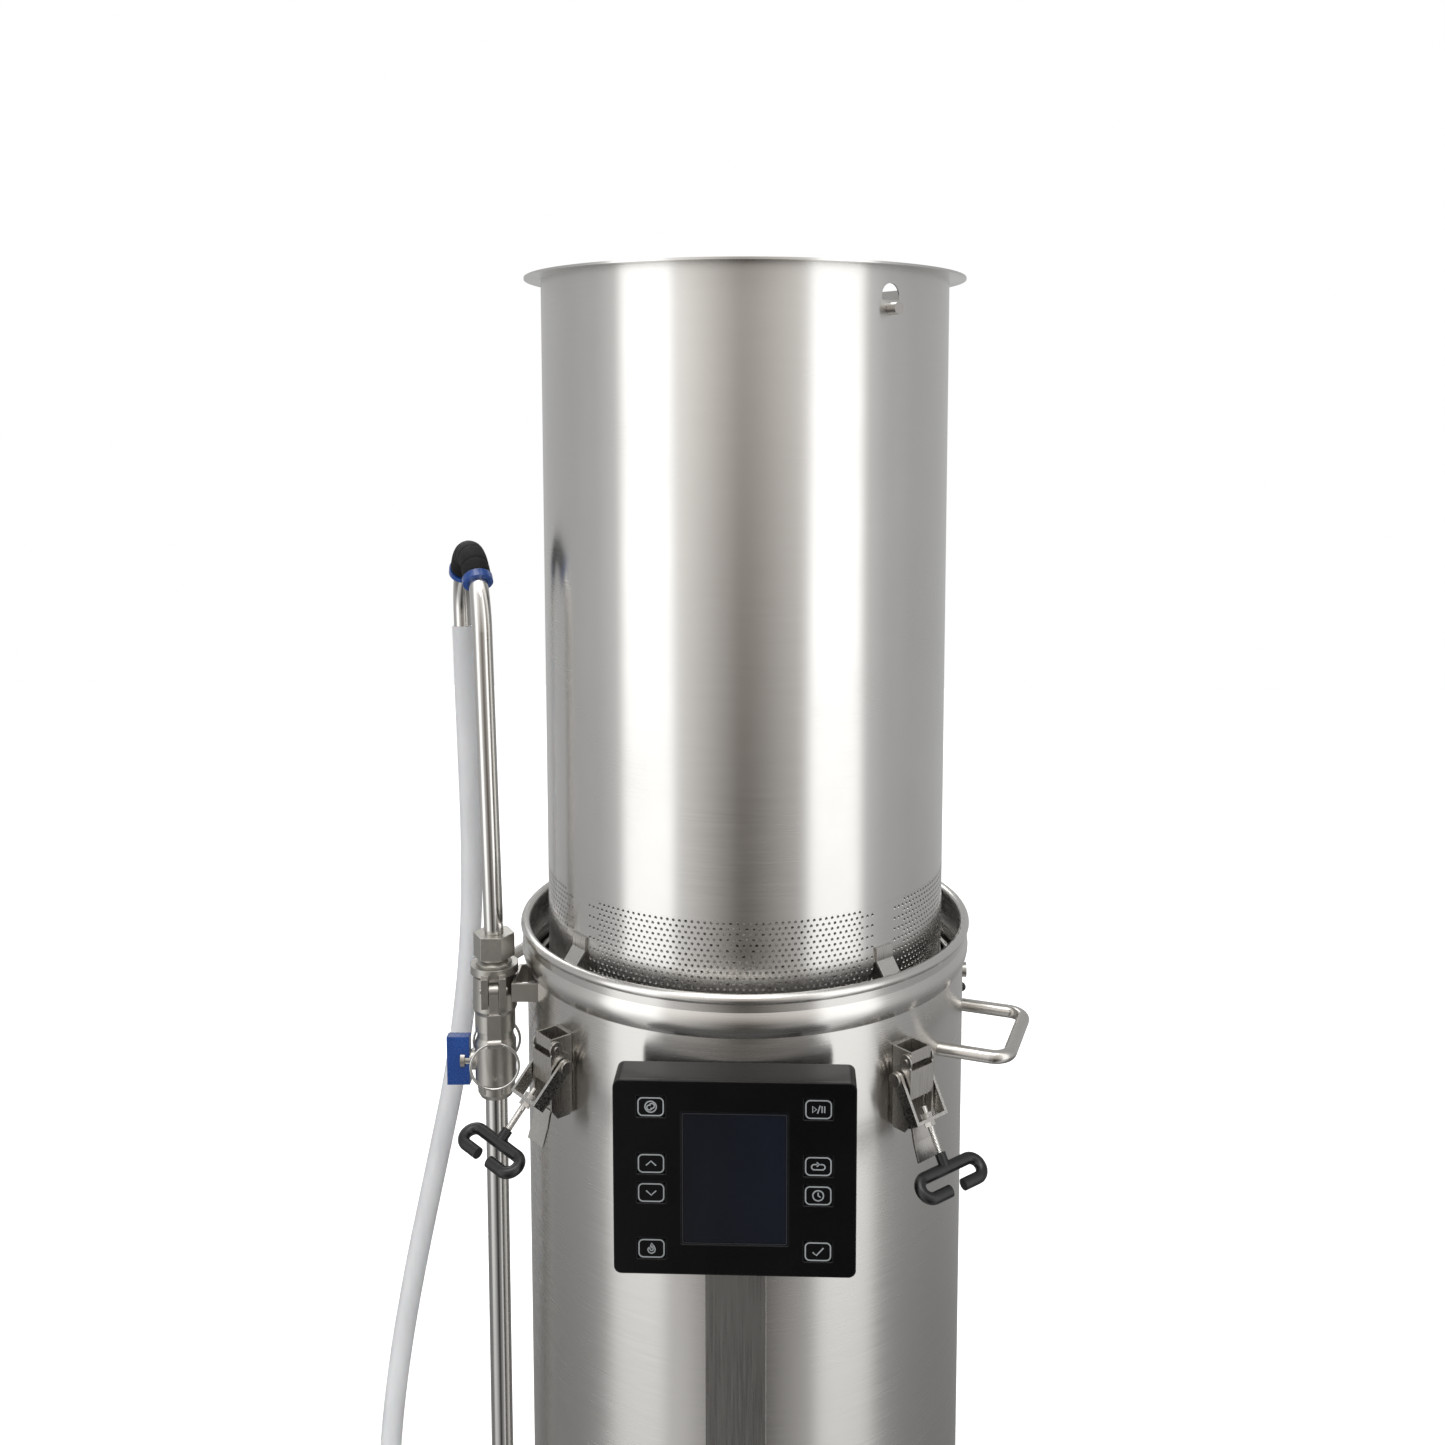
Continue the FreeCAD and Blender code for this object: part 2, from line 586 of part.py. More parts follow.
def valve():
    """A ball valve; its stem points to the local -X side and carries a wing handle."""
    low, top, middle = rim(S.valve_bottom), rim(S.valve_top), rim(S.stem_drop)
    wall, half = S.valve_radius, 13
    shell = turned([
        (0, low), (S.valve_collar - 1.5, low), (S.valve_collar, low + 3), (S.valve_collar, low + 9),
        (wall, middle - half), (wall, middle + half), (S.valve_collar, top - 5),
        (S.valve_collar, top), (0, top)])
    nut = hexagon(S.valve_hex, (0, 0, low + 4), 7)
    boss = cylinder(S.stem_radius + 3, (0, 0, middle), S.stem_reach - 3, "-X")
    cavity = doc.addObject("Part::Sphere", "Cavity")
    bind(cavity, "Radius", S.ball_radius + S.ball_gap)
    place(cavity, (0, 0, middle))
    flow = cylinder(S.flow_bore, (0, 0, low - 1), S.valve_bottom - S.valve_top + 2)
    stem_hole = cylinder(S.stem_radius + S.running_gap, (0, 0, middle), S.stem_reach, "-X")
    node(in_riser_frame(cut(join(shell, nut, boss), cavity, flow, stem_hole)), "valve_body")
    ball = doc.addObject("Part::Sphere", "Ball")
    bind(ball, "Radius", S.ball_radius)
    place(ball, (0, 0, middle))
    stem = cylinder(S.stem_radius, (0, 0, middle), S.stem_reach + 1, "-X")
    passage = cylinder(S.flow_bore, (0, 0, middle - 12), 24)
    node(in_riser_frame(cut(join(ball, stem), passage)), "valve_ball")
    tip = -S.stem_reach - S.sleeve_width + 2
    half_height, half_gauge = S.sleeve_height * 0.5, S.sleeve_gauge * 0.5
    wing = box((tip + 1.5, -S.lever_gauge * 0.5, middle - half_height + 2),
               (-S.stem_reach - 1, S.lever_gauge * 0.5, middle + half_height - 2))
    hub = cylinder(S.stem_radius + 1.5, (-S.stem_reach - 1, 0, middle), 3, "-X")
    node(in_riser_frame(join(wing, hub)), "valve_lever")
    skin = box((tip, -half_gauge, middle - half_height),
               (2 - S.stem_reach, half_gauge, middle + half_height))
    clear = cylinder(S.stem_radius + S.running_gap, (0, 0, middle), S.stem_reach + 1, "-X")
    node(in_riser_frame(cut(skin, wing, hub, clear)), "valve_sleeve")


def coupler():
    """The cam coupler's female half, with a pair of lugs at the front and at the rear."""
    low, mouth, shoulder = rim(S.valve_top), rim(S.coupler_mouth), rim(S.coupler_shoulder)
    body = turned([
        (0, low), (S.coupler_foot_radius, low), (S.coupler_foot_radius, shoulder),
        (S.coupler_radius + 0.6, shoulder + 3), (S.coupler_radius, rim(S.coupler_lip) - 2),
        (S.coupler_lip_radius, rim(S.coupler_lip)), (S.coupler_lip_radius, mouth), (0, mouth)])
    lugs = []
    pockets = []
    pins = []
    for turn in (0, 180):
        near, far = S.lug_gap * 0.5, S.lug_gap * 0.5 + S.lug_gauge
        for side_low, side_high in ((near, far), (-far, -near)):
            lug = box((side_low, -S.lug_reach, rim(S.lug_bottom)),
                      (side_high, -S.coupler_bore - 1, rim(S.lug_top)))
            lugs.append(group(lug, turn=about_z(turn)))
        pocket = box((-near, -S.lug_reach, rim(S.lug_bottom)),
                     (near, -S.adapter_radius - 1, rim(S.lug_top + 2)))
        pockets.append(group(pocket, turn=about_z(turn)))
        pin = cylinder(S.cam_pin_radius, (-far - 0.8, -S.cam_reach, rim(S.cam_drop)),
                       2 * far + 1.6, "X")
        pins.append(group(pin, turn=about_z(turn)))
    seat = cylinder(S.coupler_bore, (0, 0, rim(S.coupler_seat)), S.coupler_seat)
    flow = cylinder(S.flow_bore, (0, 0, low - 1), S.valve_top)
    solid = join(cut(join(body, *lugs), seat, flow, *pockets), *pins)
    node(in_riser_frame(solid, turn=S.cam_turn - S.riser_turn), "cam_coupler")


def cam_levers():
    """Each lever turns on the pin between its lugs and carries a loose pull ring. Its lobe is
    round about the pin, so that it stays clear of the coupler and the spigot as it opens."""
    low, out, pin = rim(S.cam_end_drop), S.cam_outside, rim(S.cam_drop)
    outline = [
        (-S.cam_reach + S.cam_lobe - 0.3, pin), (-S.cam_reach - S.cam_lobe + 0.3, pin),
        (-out, rim(S.cam_paddle_drop)), (-out - 1.4, low),
        (-out + 1.4, low), (-out + 2.6, rim(S.cam_paddle_drop)),
        (-out + 4, rim(S.cam_drop + 7)), (-S.adapter_radius - 2.4, rim(S.cam_drop + 3))]
    blade = plate(outline, S.cam_width)
    lobe = cylinder(S.cam_lobe, (S.cam_width * -0.5, -S.cam_reach, pin), S.cam_width, "X")
    paddle = box((S.cam_paddle * -0.5, -out - 1.4, low),
                 (S.cam_paddle * 0.5, -out + 1.2, rim(S.cam_paddle_drop)))
    hole = cylinder(S.cam_pin_radius + S.running_gap, (-10, -S.cam_reach, pin), 20, "X")
    half, eye_height = S.cam_paddle * 0.5, low + S.eye_rise
    eye = cylinder(S.eye_radius, (-half, -out, eye_height), S.cam_paddle, "X")
    bore = cylinder(S.eye_bore, (-half - 1, -out, eye_height), S.cam_paddle + 2, "X")
    lever = cut(join(blade, lobe, paddle, eye), hole, bore)
    ring = doc.addObject("Part::Torus", "PullRing")
    bind(ring, "Radius1", S.ring_radius)
    bind(ring, "Radius2", S.ring_wire)
    place(ring, (0, -out, eye_height - S.ring_radius), AXES["Y"])
    for turn, name in ((0, "front"), (180, "rear")):
        angle = S.cam_turn - S.riser_turn + turn
        node(in_riser_frame(lever, turn=angle), "cam_lever_" + name)
        node(in_riser_frame(ring, turn=angle), "pull_ring_" + name)


def riser_bracket():
    """A U-shaped strap: two arms on the wall and a web against the coupler."""
    low = rim(S.bracket_drop + S.bracket_height * 0.5)
    high = low + S.bracket_height
    half, gauge, web = S.bracket_half, S.bracket_gauge, S.bracket_web
    far = 70
    strap = cut(box((web, -half, low), (far, half, high)),
                box((web + gauge, gauge - half, low - 1), (far + 1, half - gauge, high + 1)))
    clear = cylinder(S.coupler_radius + 0.6, (0, 0, low - 1), S.bracket_height + 2)
    wall = cylinder(S.wall_radius, (0, 0, low - 1), S.bracket_height + 2)
    placed = in_riser_frame(cut(strap, clear))
    node(cut(placed, wall), "riser_bracket")


# ---------------------------------------------------------------- gooseneck
def on_neck(item):
    """Turns a piece of the gooseneck to its heading and leans it off the boiler."""
    lean = Rotation(Vector(0, 1, 0), -number(S.neck_lean))
    foot = Vector(0, 0, number(rim(-S.adapter_top)))
    shift = foot - lean.multVec(foot)
    return in_riser_frame(group(group(item, turn=about_z(S.neck_turn)), at=tuple(shift), turn=lean))


def gooseneck():
    top, seat = rim(-S.adapter_top), rim(S.coupler_mouth)
    spigot = turned([
        (S.flow_bore, rim(S.adapter_bottom)), (S.adapter_radius, rim(S.adapter_bottom)),
        (S.adapter_radius, seat + 1), (9, seat + 3), (9, seat + 5), (S.flow_bore, seat + 5)])
    nut = cut(hexagon(S.adapter_hex, (0, 0, seat + 5), top - seat - 5),
              cylinder(S.flow_bore, (0, 0, seat), 40))
    node(in_riser_frame(join(spigot, nut)), "hose_adapter")
    reach = number(S.neck_reach)
    bend = reach / 2 - 0.05
    crest = number(rim(-S.neck_rise))
    start = Vector(0, 0, number(top) + 0.14)
    wire = bent_wire([start, Vector(0, 0, crest), Vector(0, reach, crest),
                      Vector(0, reach, number(rim(-S.neck_outlet)))], [bend, bend])
    neck = pipe(wire, S.neck_radius, S.neck_radius - S.neck_gauge)
    node(on_neck(neck), "gooseneck_tube")
    arch = Vector(0, reach / 2, crest - bend)

    def arch_piece(first, last, outer):
        """A stretch of the arch between two angles from its crest."""
        spots = [arch + Vector(0, math.sin(math.radians(angle)) * bend,
                               math.cos(math.radians(angle)) * bend)
                 for angle in (first, (first + last) / 2, last)]
        stretch = Part.Wire([Part.Arc(*spots).toShape()])
        return cut(swept(stretch, outer), swept(stretch, S.neck_radius + 2 * S.running_gap))

    span, end = number(S.grip_angle), number(S.grip_angle + S.collar_angle)
    grip = arch_piece(-span, span, S.grip_radius)
    node(on_neck(grip), "grip_sleeve")
    collars = group(arch_piece(-end, -span, S.collar_radius), arch_piece(span, end, S.collar_radius))
    node(on_neck(collars), "grip_collars")


# The route of the return hose, from the gooseneck's outlet to its bare end on the floor.
HOSE_ROUTE = [
    (-201.5, 32.2, 823.8), (-200.1, 32.3, 752), (-197.9, 32.3, 664), (-200.5, 32.1, 585),
    (-211.5, 31.4, 500), (-229.0, 30.6, 420), (-246.0, 28.6, 342), (-259.0, 23.5, 266),
    (-265.0, 15.0, 196), (-264.0, 4.0, 134), (-260.5, -8.0, 82), (-263.0, -30.0, 42),
    (-272.0, -66.0, 15), (-286.0, -112.0, 8.2), (-290.0, -168.0, 8.2), (-276.0, -222.0, 8.2),
]


def recirculation_hose():
    points = [Vector(*spot) for spot in HOSE_ROUTE]
    radii = []
    for before, corner, after in zip(points, points[1:], points[2:]):
        shorter = min((corner - before).Length, (after - corner).Length)
        turn = (corner - before).getAngle(after - corner)
        radii.append(0.45 * shorter / math.tan(turn / 2))
    wire = bent_wire(points, radii)
    hose = pipe(wire, S.hose_radius, S.hose_bore)
    node(hose, "recirculation_hose")
    doc.recompute()
    outer, inner = number(S.hose_radius), number(S.hose_bore)
    expected = math.pi * (outer ** 2 - inner ** 2) * wire.Length
    print("hose radii", ["%.0f" % radius for radius in radii])
    print("hose length %.1f volume ratio %.4f" % (wire.Length, hose.Shape.Volume / expected))


# ---------------------------------------------------------------- malt pipe
def malt_pipe():
    low = rim(S.malt_drop)
    top = low + S.malt_length
    out, inner = S.malt_radius, S.malt_radius - S.malt_gauge
    shell = turned([
        (S.malt_lip, low), (out, low), (out, top - S.malt_flange_gauge),
        (S.malt_flange, top - S.malt_flange_gauge), (S.malt_flange, top), (inner, top),
        (inner, low + S.malt_lip_gauge), (S.malt_lip, low + S.malt_lip_gauge)])
    pin_height = rim(-S.bail_pin_rise)
    half, sill = S.window_half, rim(-S.window_rise)
    openings = []
    for turn in (0, 180):
        pin_hole = cylinder(S.bail_wire + S.running_gap, (0, 5 - out, pin_height), 12, "-Y")
        arch = cylinder(half, (0, 5 - out, sill + S.window_height - half), 12, "-Y")
        lower = box((-half, -out - 5, sill), (half, 5 - out, sill + S.window_height - half))
        above = box((-half - 1, -out - 6, sill), (half + 1, 6 - out, sill + S.window_height + 1))
        window = join(overlap(arch, above), lower)
        openings.append(at_azimuth(S.bail_azimuth + turn, pin_hole, window))
    node(cut(shell, *openings), "malt_pipe_shell")
    screen_low = low + S.malt_lip_gauge
    edge = inner - S.screen_gap
    screen = turned([
        (0, screen_low), (edge, screen_low), (edge, screen_low + S.screen_rim),
        (edge - S.screen_gauge, screen_low + S.screen_rim),
        (edge - S.screen_gauge, screen_low + S.screen_gauge),
        (6, screen_low + S.screen_gauge), (6, screen_low + 8), (0, screen_low + 8)])
    node(screen, "bottom_screen")


def malt_pipe_feet():
    """Four bent tabs, welded flat on the pipe and stepping out onto the support ring."""
    gauge, out, reach = S.tab_gauge, S.malt_radius, S.tab_reach
    root, bend, step, end = rim(-S.tab_root), rim(-S.tab_bend), rim(S.tab_step), rim(S.tab_end)
    tab = plate([
        (-out, root), (-out, bend), (gauge - reach, step), (gauge - reach, end),
        (-reach, end), (-reach, step + 0.7), (-out - gauge, bend + 0.7), (-out - gauge, root)],
        S.tab_width)
    node(group(*[at_azimuth(S.foot_azimuth + turn, tab) for turn in SQUARE]), "malt_pipe_feet")


def malt_pipe_bail():
    """A wire hoop folded down inside the pipe; its bent ends are the hinge pins."""
    arc, corner = number(S.bail_arc), number(S.bail_corner)
    height, tip = number(rim(-S.bail_pin_rise)), number(S.bail_pin_end)
    near = math.sqrt((arc + corner) ** 2 - corner ** 2)
    shrink = arc / (arc + corner)
    touch = Vector(near * shrink, 0, -corner * shrink)
    slope = math.atan2(corner, near)
    halfway = (math.pi / 2 + slope) / 2
    middle = Vector(near - corner * math.cos(halfway), 0, corner * (math.sin(halfway) - 1))
    spots = [Vector(tip, 0, 0), Vector(near, 0, 0), middle, touch]
    lift = Vector(0, 0, height)
    right = [spot + lift for spot in spots]
    left = [Vector(-spot.x, 0, spot.z) + lift for spot in spots]
    wire = Part.Wire([
        Part.LineSegment(right[0], right[1]).toShape(),
        Part.Arc(right[1], right[2], right[3]).toShape(),
        Part.Arc(right[3], Vector(0, 0, height - arc), left[3]).toShape(),
        Part.Arc(left[3], left[2], left[1]).toShape(),
        Part.LineSegment(left[1], left[0]).toShape()])
    hoop = swept(wire, S.bail_wire)
    node(at_azimuth(S.bail_azimuth - 90, hoop), "malt_pipe_bail")


# ---------------------------------------------------------------- latches
# How each latch hangs: its turn round the boiler, its hook's twist and its bail's tilt.
LATCHES = {
    "front_right": (0, -10, 30), "rear_right": (90, 12, 40), "rear_left": (180, -18, 40),
    "front_left": (270, 15, 45),
}


def latch_base():
    """A channel on the wall, closed at its top, with the lever's hinge pin across it."""
    wall, depth, gauge, half = S.wall_radius, S.latch_depth, S.latch_gauge, S.latch_half
    low, top = rim(S.latch_bottom), rim(S.latch_top)
    outline = [
        (-wall, low), (-wall, top), (-wall - depth, top), (-wall - depth, top - S.latch_strip),
        (-wall - S.latch_cheek, top - S.latch_strip - 6), (-wall - S.latch_cheek, low)]
    block = plate(outline, 2 * half)
    hollow = box((gauge - half, -wall - depth + gauge, low - 1), (half - gauge, -wall - gauge, top + 1))
    front = box((gauge - half, -wall - depth - 1, low - 1),
                (half - gauge, -wall - 5, top - S.latch_strip))
    pin_spot = (-S.lever_inner - S.lever_wall - 0.6, -wall - S.latch_pin_reach, rim(S.latch_pin_drop))
    pin = cylinder(S.latch_pin_radius, pin_spot, 2 * (S.lever_inner + S.lever_wall + 0.6), "X")
    return join(cut(block, hollow, front), pin)


def latch_lever():
    """A channel that hinges on the base's pin; its outer rivets carry the bail."""
    wall, inner, skin = S.wall_radius, S.lever_inner, S.lever_wall
    outer = inner + skin
    pin_y, pin_z = -wall - S.latch_pin_reach, rim(S.latch_pin_drop)
    rivet_y, rivet_z = -wall - S.rivet_reach, rim(S.rivet_drop)
    front, low = -wall - 16.4, rim(S.latch_bottom)
    sides = plate([
        (-wall - 2.5, rim(53)), (pin_y, pin_z + 1), (front, rim(51)), (front, rim(86)),
        (-wall - 12, low), (-wall - 2.5, low)], 2 * outer)
    ears = cylinder(S.ear_radius, (-outer, pin_y, pin_z), 2 * outer, "X")
    hollow = box((-inner, front + skin, rim(120)), (inner, -wall, rim(30)))
    lower_gap = box((-inner, front - 1, rim(86)), (inner, front + skin + 1, rim(70)))
    upper_gap = box((-inner, front - 3, rim(52)), (inner, front + skin + 1, rim(30)))
    back_gap = box((-outer - 1, -wall - 2.4, rim(120)), (outer + 1, -wall + 9, rim(30)))
    pin_hole = cylinder(S.latch_pin_radius + S.running_gap, (-outer - 1, pin_y, pin_z),
                        2 * outer + 2, "X")
    channel = cut(join(sides, ears), hollow, lower_gap, upper_gap, back_gap, pin_hole)
    tab = plate([
        (front, rim(86)), (front - 2.2, rim(97)), (front - 6, rim(108)), (front - 4.8, rim(108.4)),
        (front - 1, rim(97.6)), (front + skin, rim(88)), (front + skin, rim(86))], 17)
    bridge = box((-inner - 0.1, front, rim(88)), (inner + 0.1, front + skin, rim(86)))
    rivets = []
    for side in (1, -1):
        axis = "X" if side > 0 else "-X"
        rivets.append(cylinder(S.rivet_radius, (side * (outer - 0.4), rivet_y, rivet_z),
                               S.bail_inner + S.bail_gauge - outer + 0.9, axis))
        rivets.append(cylinder(S.rivet_head, (side * (S.bail_inner + S.bail_gauge + 0.3),
                                              rivet_y, rivet_z), 1.7, axis))
    return join(channel, tab, bridge, *rivets)


def latch_bail(twist, tilt):
    """The bail hangs from the rivets and holds a threaded rod with a coated T-hook."""
    inner, outer = S.bail_inner, S.bail_inner + S.bail_gauge
    half, arm = S.bail_width * 0.5, S.bail_arm
    strip = cut(
        join(box((-outer, -half, -arm), (outer, half, 0)), cylinder(half, (-outer, 0, 0), 2 * outer, "X")),
        box((-inner, -half - 1, S.bail_gauge - arm), (inner, half + 1, half + 1)),
        cylinder(S.rivet_radius + S.running_gap, (-outer - 1, 0, 0), 2 * outer + 2, "X"),
        cylinder(S.rod_radius + S.running_gap, (0, 0, -arm - 1), S.bail_gauge + 2))
    rod = join(
        cylinder(S.rod_radius, (0, 0, -S.hook_drop), S.hook_drop - S.rod_start),
        hexagon(S.nut_radius, (0, 0, S.bail_gauge - arm), S.nut_height),
        hexagon(S.nut_radius, (0, 0, -arm - S.nut_height), S.nut_height),
        cylinder(S.coat_radius, (0, 0, -S.hook_drop), S.hook_drop - S.coat_start))
    lean = math.radians(number(S.hook_lean))
    fold = Vector(0, -math.sin(lean), -math.cos(lean)) * number(S.hook_fold)
    span, tip = number(S.hook_half), number(S.hook_tip)
    bar = Vector(0, 0, -number(S.hook_drop))
    corners = [Vector(tip, 0, 0) + fold, Vector(span, 0, 0) + fold, Vector(span, 0, 0),
               Vector(-span, 0, 0), Vector(-span, 0, 0) + fold, Vector(-tip, 0, 0) + fold]
    wire = bent_wire([bar + corner for corner in corners], [number(S.hook_bend)] * 4)
    hook = group(swept(wire, S.hook_bar), turn=about_z(twist))
    return group(strip, join(rod, hook), at=(0, -S.wall_radius - S.rivet_reach, rim(S.rivet_drop)),
                 turn=Rotation(Vector(1, 0, 0), -tilt))


def latches():
    base, lever = latch_base(), latch_lever()
    bases = []
    for name, (turn, twist, tilt) in LATCHES.items():
        azimuth = S.latch_azimuth + turn
        spot = {"at": (0, 0, -S.latch_lower), "turn": about_z(azimuth)}
        bases.append(group(base, **spot))
        node(group(lever, **spot), "latch_lever_" + name)
        node(group(latch_bail(twist, tilt), **spot), "latch_bail_" + name)
    node(group(*bases), "latch_bases")


# ---------------------------------------------------------------- control panel
def rounded_block(half, low, high, back, front, corner):
    """A block standing across Y whose four long edges are rounded."""
    item = doc.addObject("Part::Fillet", "RoundedBlock")
    block = box((-half, -front, low), (half, -back, high))
    item.Base = block
    doc.recompute()
    wanted = []
    for order, edge in enumerate(block.Shape.Edges, start=1):
        heading = edge.tangentAt(edge.FirstParameter)
        if abs(heading.y) > 0.99:
            wanted.append((order, number(corner), number(corner)))
    item.Edges = wanted
    return item


def control_panel():
    half, front, back = S.panel_half, S.panel_front, S.panel_back
    low, high, wall = rim(S.panel_bottom), rim(S.panel_top), S.panel_wall
    seam = front - S.fascia_gauge
    corner = S.panel_corner
    shell = cut(rounded_block(half, low, high, back, seam, corner),
                box((wall - half, 1 - front - 3, low + wall), (half - wall, -back - wall, high - wall)))
    mount = box((-S.mount_half, -back - 0.5, low + 8), (S.mount_half, 20 - back, high - 12))
    boiler = cylinder(S.wall_radius, (0, 0, low), high - low)
    port = cylinder(7, (0, -back - wall - 1, low + 12), 30, "Y")
    node(cut(join(shell, mount), boiler, port), "control_housing")
    windows = [box((-S.window_half_width, -front - 1, rim(S.window_bottom)),
                   (S.window_half_width, 1 - seam, rim(S.window_top)))]
    gap_x, gap_z = S.key_half_width + S.key_gap, S.key_half_height + S.key_gap
    for side in (-1, 1):
        for drop in KEY_ROWS.values():
            x, z = side * S.key_column, rim(drop)
            windows.append(box((x - gap_x, -front - 1, z - gap_z), (x + gap_x, 1 - seam, z + gap_z)))
    node(cut(rounded_block(half, low, high, seam, front, corner), *windows), "control_fascia")
    display = join(
        box((-S.window_half_width, 0.3 - front, rim(S.window_bottom)),
            (S.window_half_width, -seam, rim(S.window_top))),
        box((-S.window_half_width - 2, -seam, rim(S.window_bottom + 4)),
            (S.window_half_width + 2, 4 - seam, rim(S.window_top - 2))))
    node(display, "display_module")
    board = box((8 - half, 9 - front, low + 8), (half - 8, 9 - front + S.board_gauge, high - 8))
    chip = box((-20, 9 - front + S.board_gauge, low + 40), (10, 12.5 - front, low + 60))
    socket = box((20, 9 - front + S.board_gauge, low + 14), (50, 13.5 - front, low + 26))
    node(join(board, chip, socket), "control_board")
    for side, name in ((-1, "left"), (1, "right")):
        for row, drop in KEY_ROWS.items():
            key = rounded_block(S.key_half_width, -S.key_half_height, S.key_half_height,
                                front - S.key_depth, front, S.key_corner)
            node(group(key, at=(side * S.key_column, 0, rim(drop))), "key_%s_%s" % (row, name))


def cable_duct():
    """A channel down the wall that takes the panel's leads to the base."""
    low, high = S.floor_height - 20, rim(S.panel_bottom)
    half, out = S.duct_half, S.wall_radius + S.duct_depth
    solid = cut(box((-half, -out, low), (half, -S.wall_radius + 4, high)),
                box((1.2 - half, 1.2 - out, low - 1), (half - 1.2, -S.wall_radius + 5, high + 1)))
    wall = cylinder(S.wall_radius, (0, 0, low - 1), high - low + 2)
    node(cut(solid, wall), "cable_duct")


# ---------------------------------------------------------------- the whole object
boiler_shell()
support_ring()
side_handles()
base_skirt()
base_plate()
feet_and_screws()
heating_parts()
pump()
pump_hoses()
power_parts()
riser_pipe()
valve()
coupler()
cam_levers()
riser_bracket()
gooseneck()
recirculation_hose()
malt_pipe()
malt_pipe_feet()
malt_pipe_bail()
latches()
control_panel()
cable_duct()

doc.recompute()
for item in doc.Objects:
    for word in ("Invalid", "Error"):
        if word in item.State:
            raise RuntimeError("%s (%s) is %s" % (item.Name, item.Label, word))
for item in nodes:
    shape = item.Shape
    if shape.isNull() or not shape.isValid() or not shape.Solids:
        raise RuntimeError("%s has no valid solid" % item.Label)
    shape.exportStep("parts/%s.step" % item.Label)
    print("%-28s solids %2d faces %4d volume %.0f"
          % (item.Label, len(shape.Solids), len(shape.Faces), shape.Volume))
print(len(nodes), "nodes")
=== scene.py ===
import json
import math

import bmesh
import bpy
from mathutils import Matrix, Vector


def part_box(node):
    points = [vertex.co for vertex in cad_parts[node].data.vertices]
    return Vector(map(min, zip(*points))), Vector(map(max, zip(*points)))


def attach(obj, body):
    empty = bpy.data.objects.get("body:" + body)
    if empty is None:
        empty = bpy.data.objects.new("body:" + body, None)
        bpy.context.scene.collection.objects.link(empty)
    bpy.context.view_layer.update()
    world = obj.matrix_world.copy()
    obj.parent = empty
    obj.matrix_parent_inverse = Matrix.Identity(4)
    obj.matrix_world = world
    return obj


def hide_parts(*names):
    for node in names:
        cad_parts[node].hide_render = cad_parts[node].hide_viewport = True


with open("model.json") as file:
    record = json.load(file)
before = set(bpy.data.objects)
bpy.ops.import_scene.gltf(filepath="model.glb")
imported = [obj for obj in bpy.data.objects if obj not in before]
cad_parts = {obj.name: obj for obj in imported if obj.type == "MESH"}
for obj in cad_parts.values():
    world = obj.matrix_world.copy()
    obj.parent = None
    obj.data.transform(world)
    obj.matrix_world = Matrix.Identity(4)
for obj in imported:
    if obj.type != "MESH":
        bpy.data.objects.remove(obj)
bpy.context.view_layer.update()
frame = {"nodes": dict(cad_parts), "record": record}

NODES = frame["nodes"]
scene = bpy.context.scene

# ---------------------------------------------------------------- sizes, in metres
RIM = 0.630
RISER = Vector((-0.1645, -0.0535, 0.0))
RISER_TURN = math.radians(2)
NECK_TURN, NECK_LEAN, NECK_FOOT = math.radians(21.1), math.radians(1.15), 0.632
ARCH_RADIUS, ARCH_HEIGHT = 0.04595, 0.83345
MALT_RADIUS, MALT_WALL = 0.135, 0.0008
FOOT_AZIMUTH = 41.5
BAND_LOW, ROW_PITCH, BAND_ROWS, BAND_COLUMNS = 0.6105, 0.0034, 18, 216
HOLE_RADIUS = 0.00098
STRIP_HALF, STRIP_WIDE = 0.0072, 0.0190
LATCHES = {"front_right": (42.5, 30), "rear_right": (132.5, 40), "rear_left": (222.5, 40),
           "front_left": (312.5, 45)}
KEY_ROWS = {"top": 54.3, "upper": 88.6, "lower": 106.3, "bottom": 140.4}
KEY_COLUMN, PANEL_FRONT = 0.0484, 0.175
KEY_HALF, KEY_CORNER, STROKE = (7.3, 5.3), 2.6, 0.75    # millimetres
BEZEL_DROP, BEZEL_HALF, BEZEL_CORNER, BEZEL_STROKE = 0.0973, (30.2, 39.2), 1.2, 0.5
HOOK_PIVOT_RADIUS, HOOK_PIVOT_HEIGHT = 0.1575, 0.570
COAT_START, THREAD_START, THREAD_PITCH = 0.0478, 0.0345, 0.0008
GRIP_SPREAD, GRIP_RADIUS, GRIP_ROLL, GRIP_END = math.radians(44), 0.00915, 0.0011, 0.035
GRIP_WRINKLES = ((0.14, 0.5), (0.33, 0.35), (0.52, 0.55), (0.71, 0.4), (0.88, 0.45))
WRINKLE_DEPTH, WRINKLE_WIDTH = 0.001, 0.013


def outward(azimuth):
    """The level direction away from the axis at an azimuth in degrees, 0 being the front."""
    turn = math.radians(azimuth)
    return Vector((math.sin(turn), -math.cos(turn), 0.0))


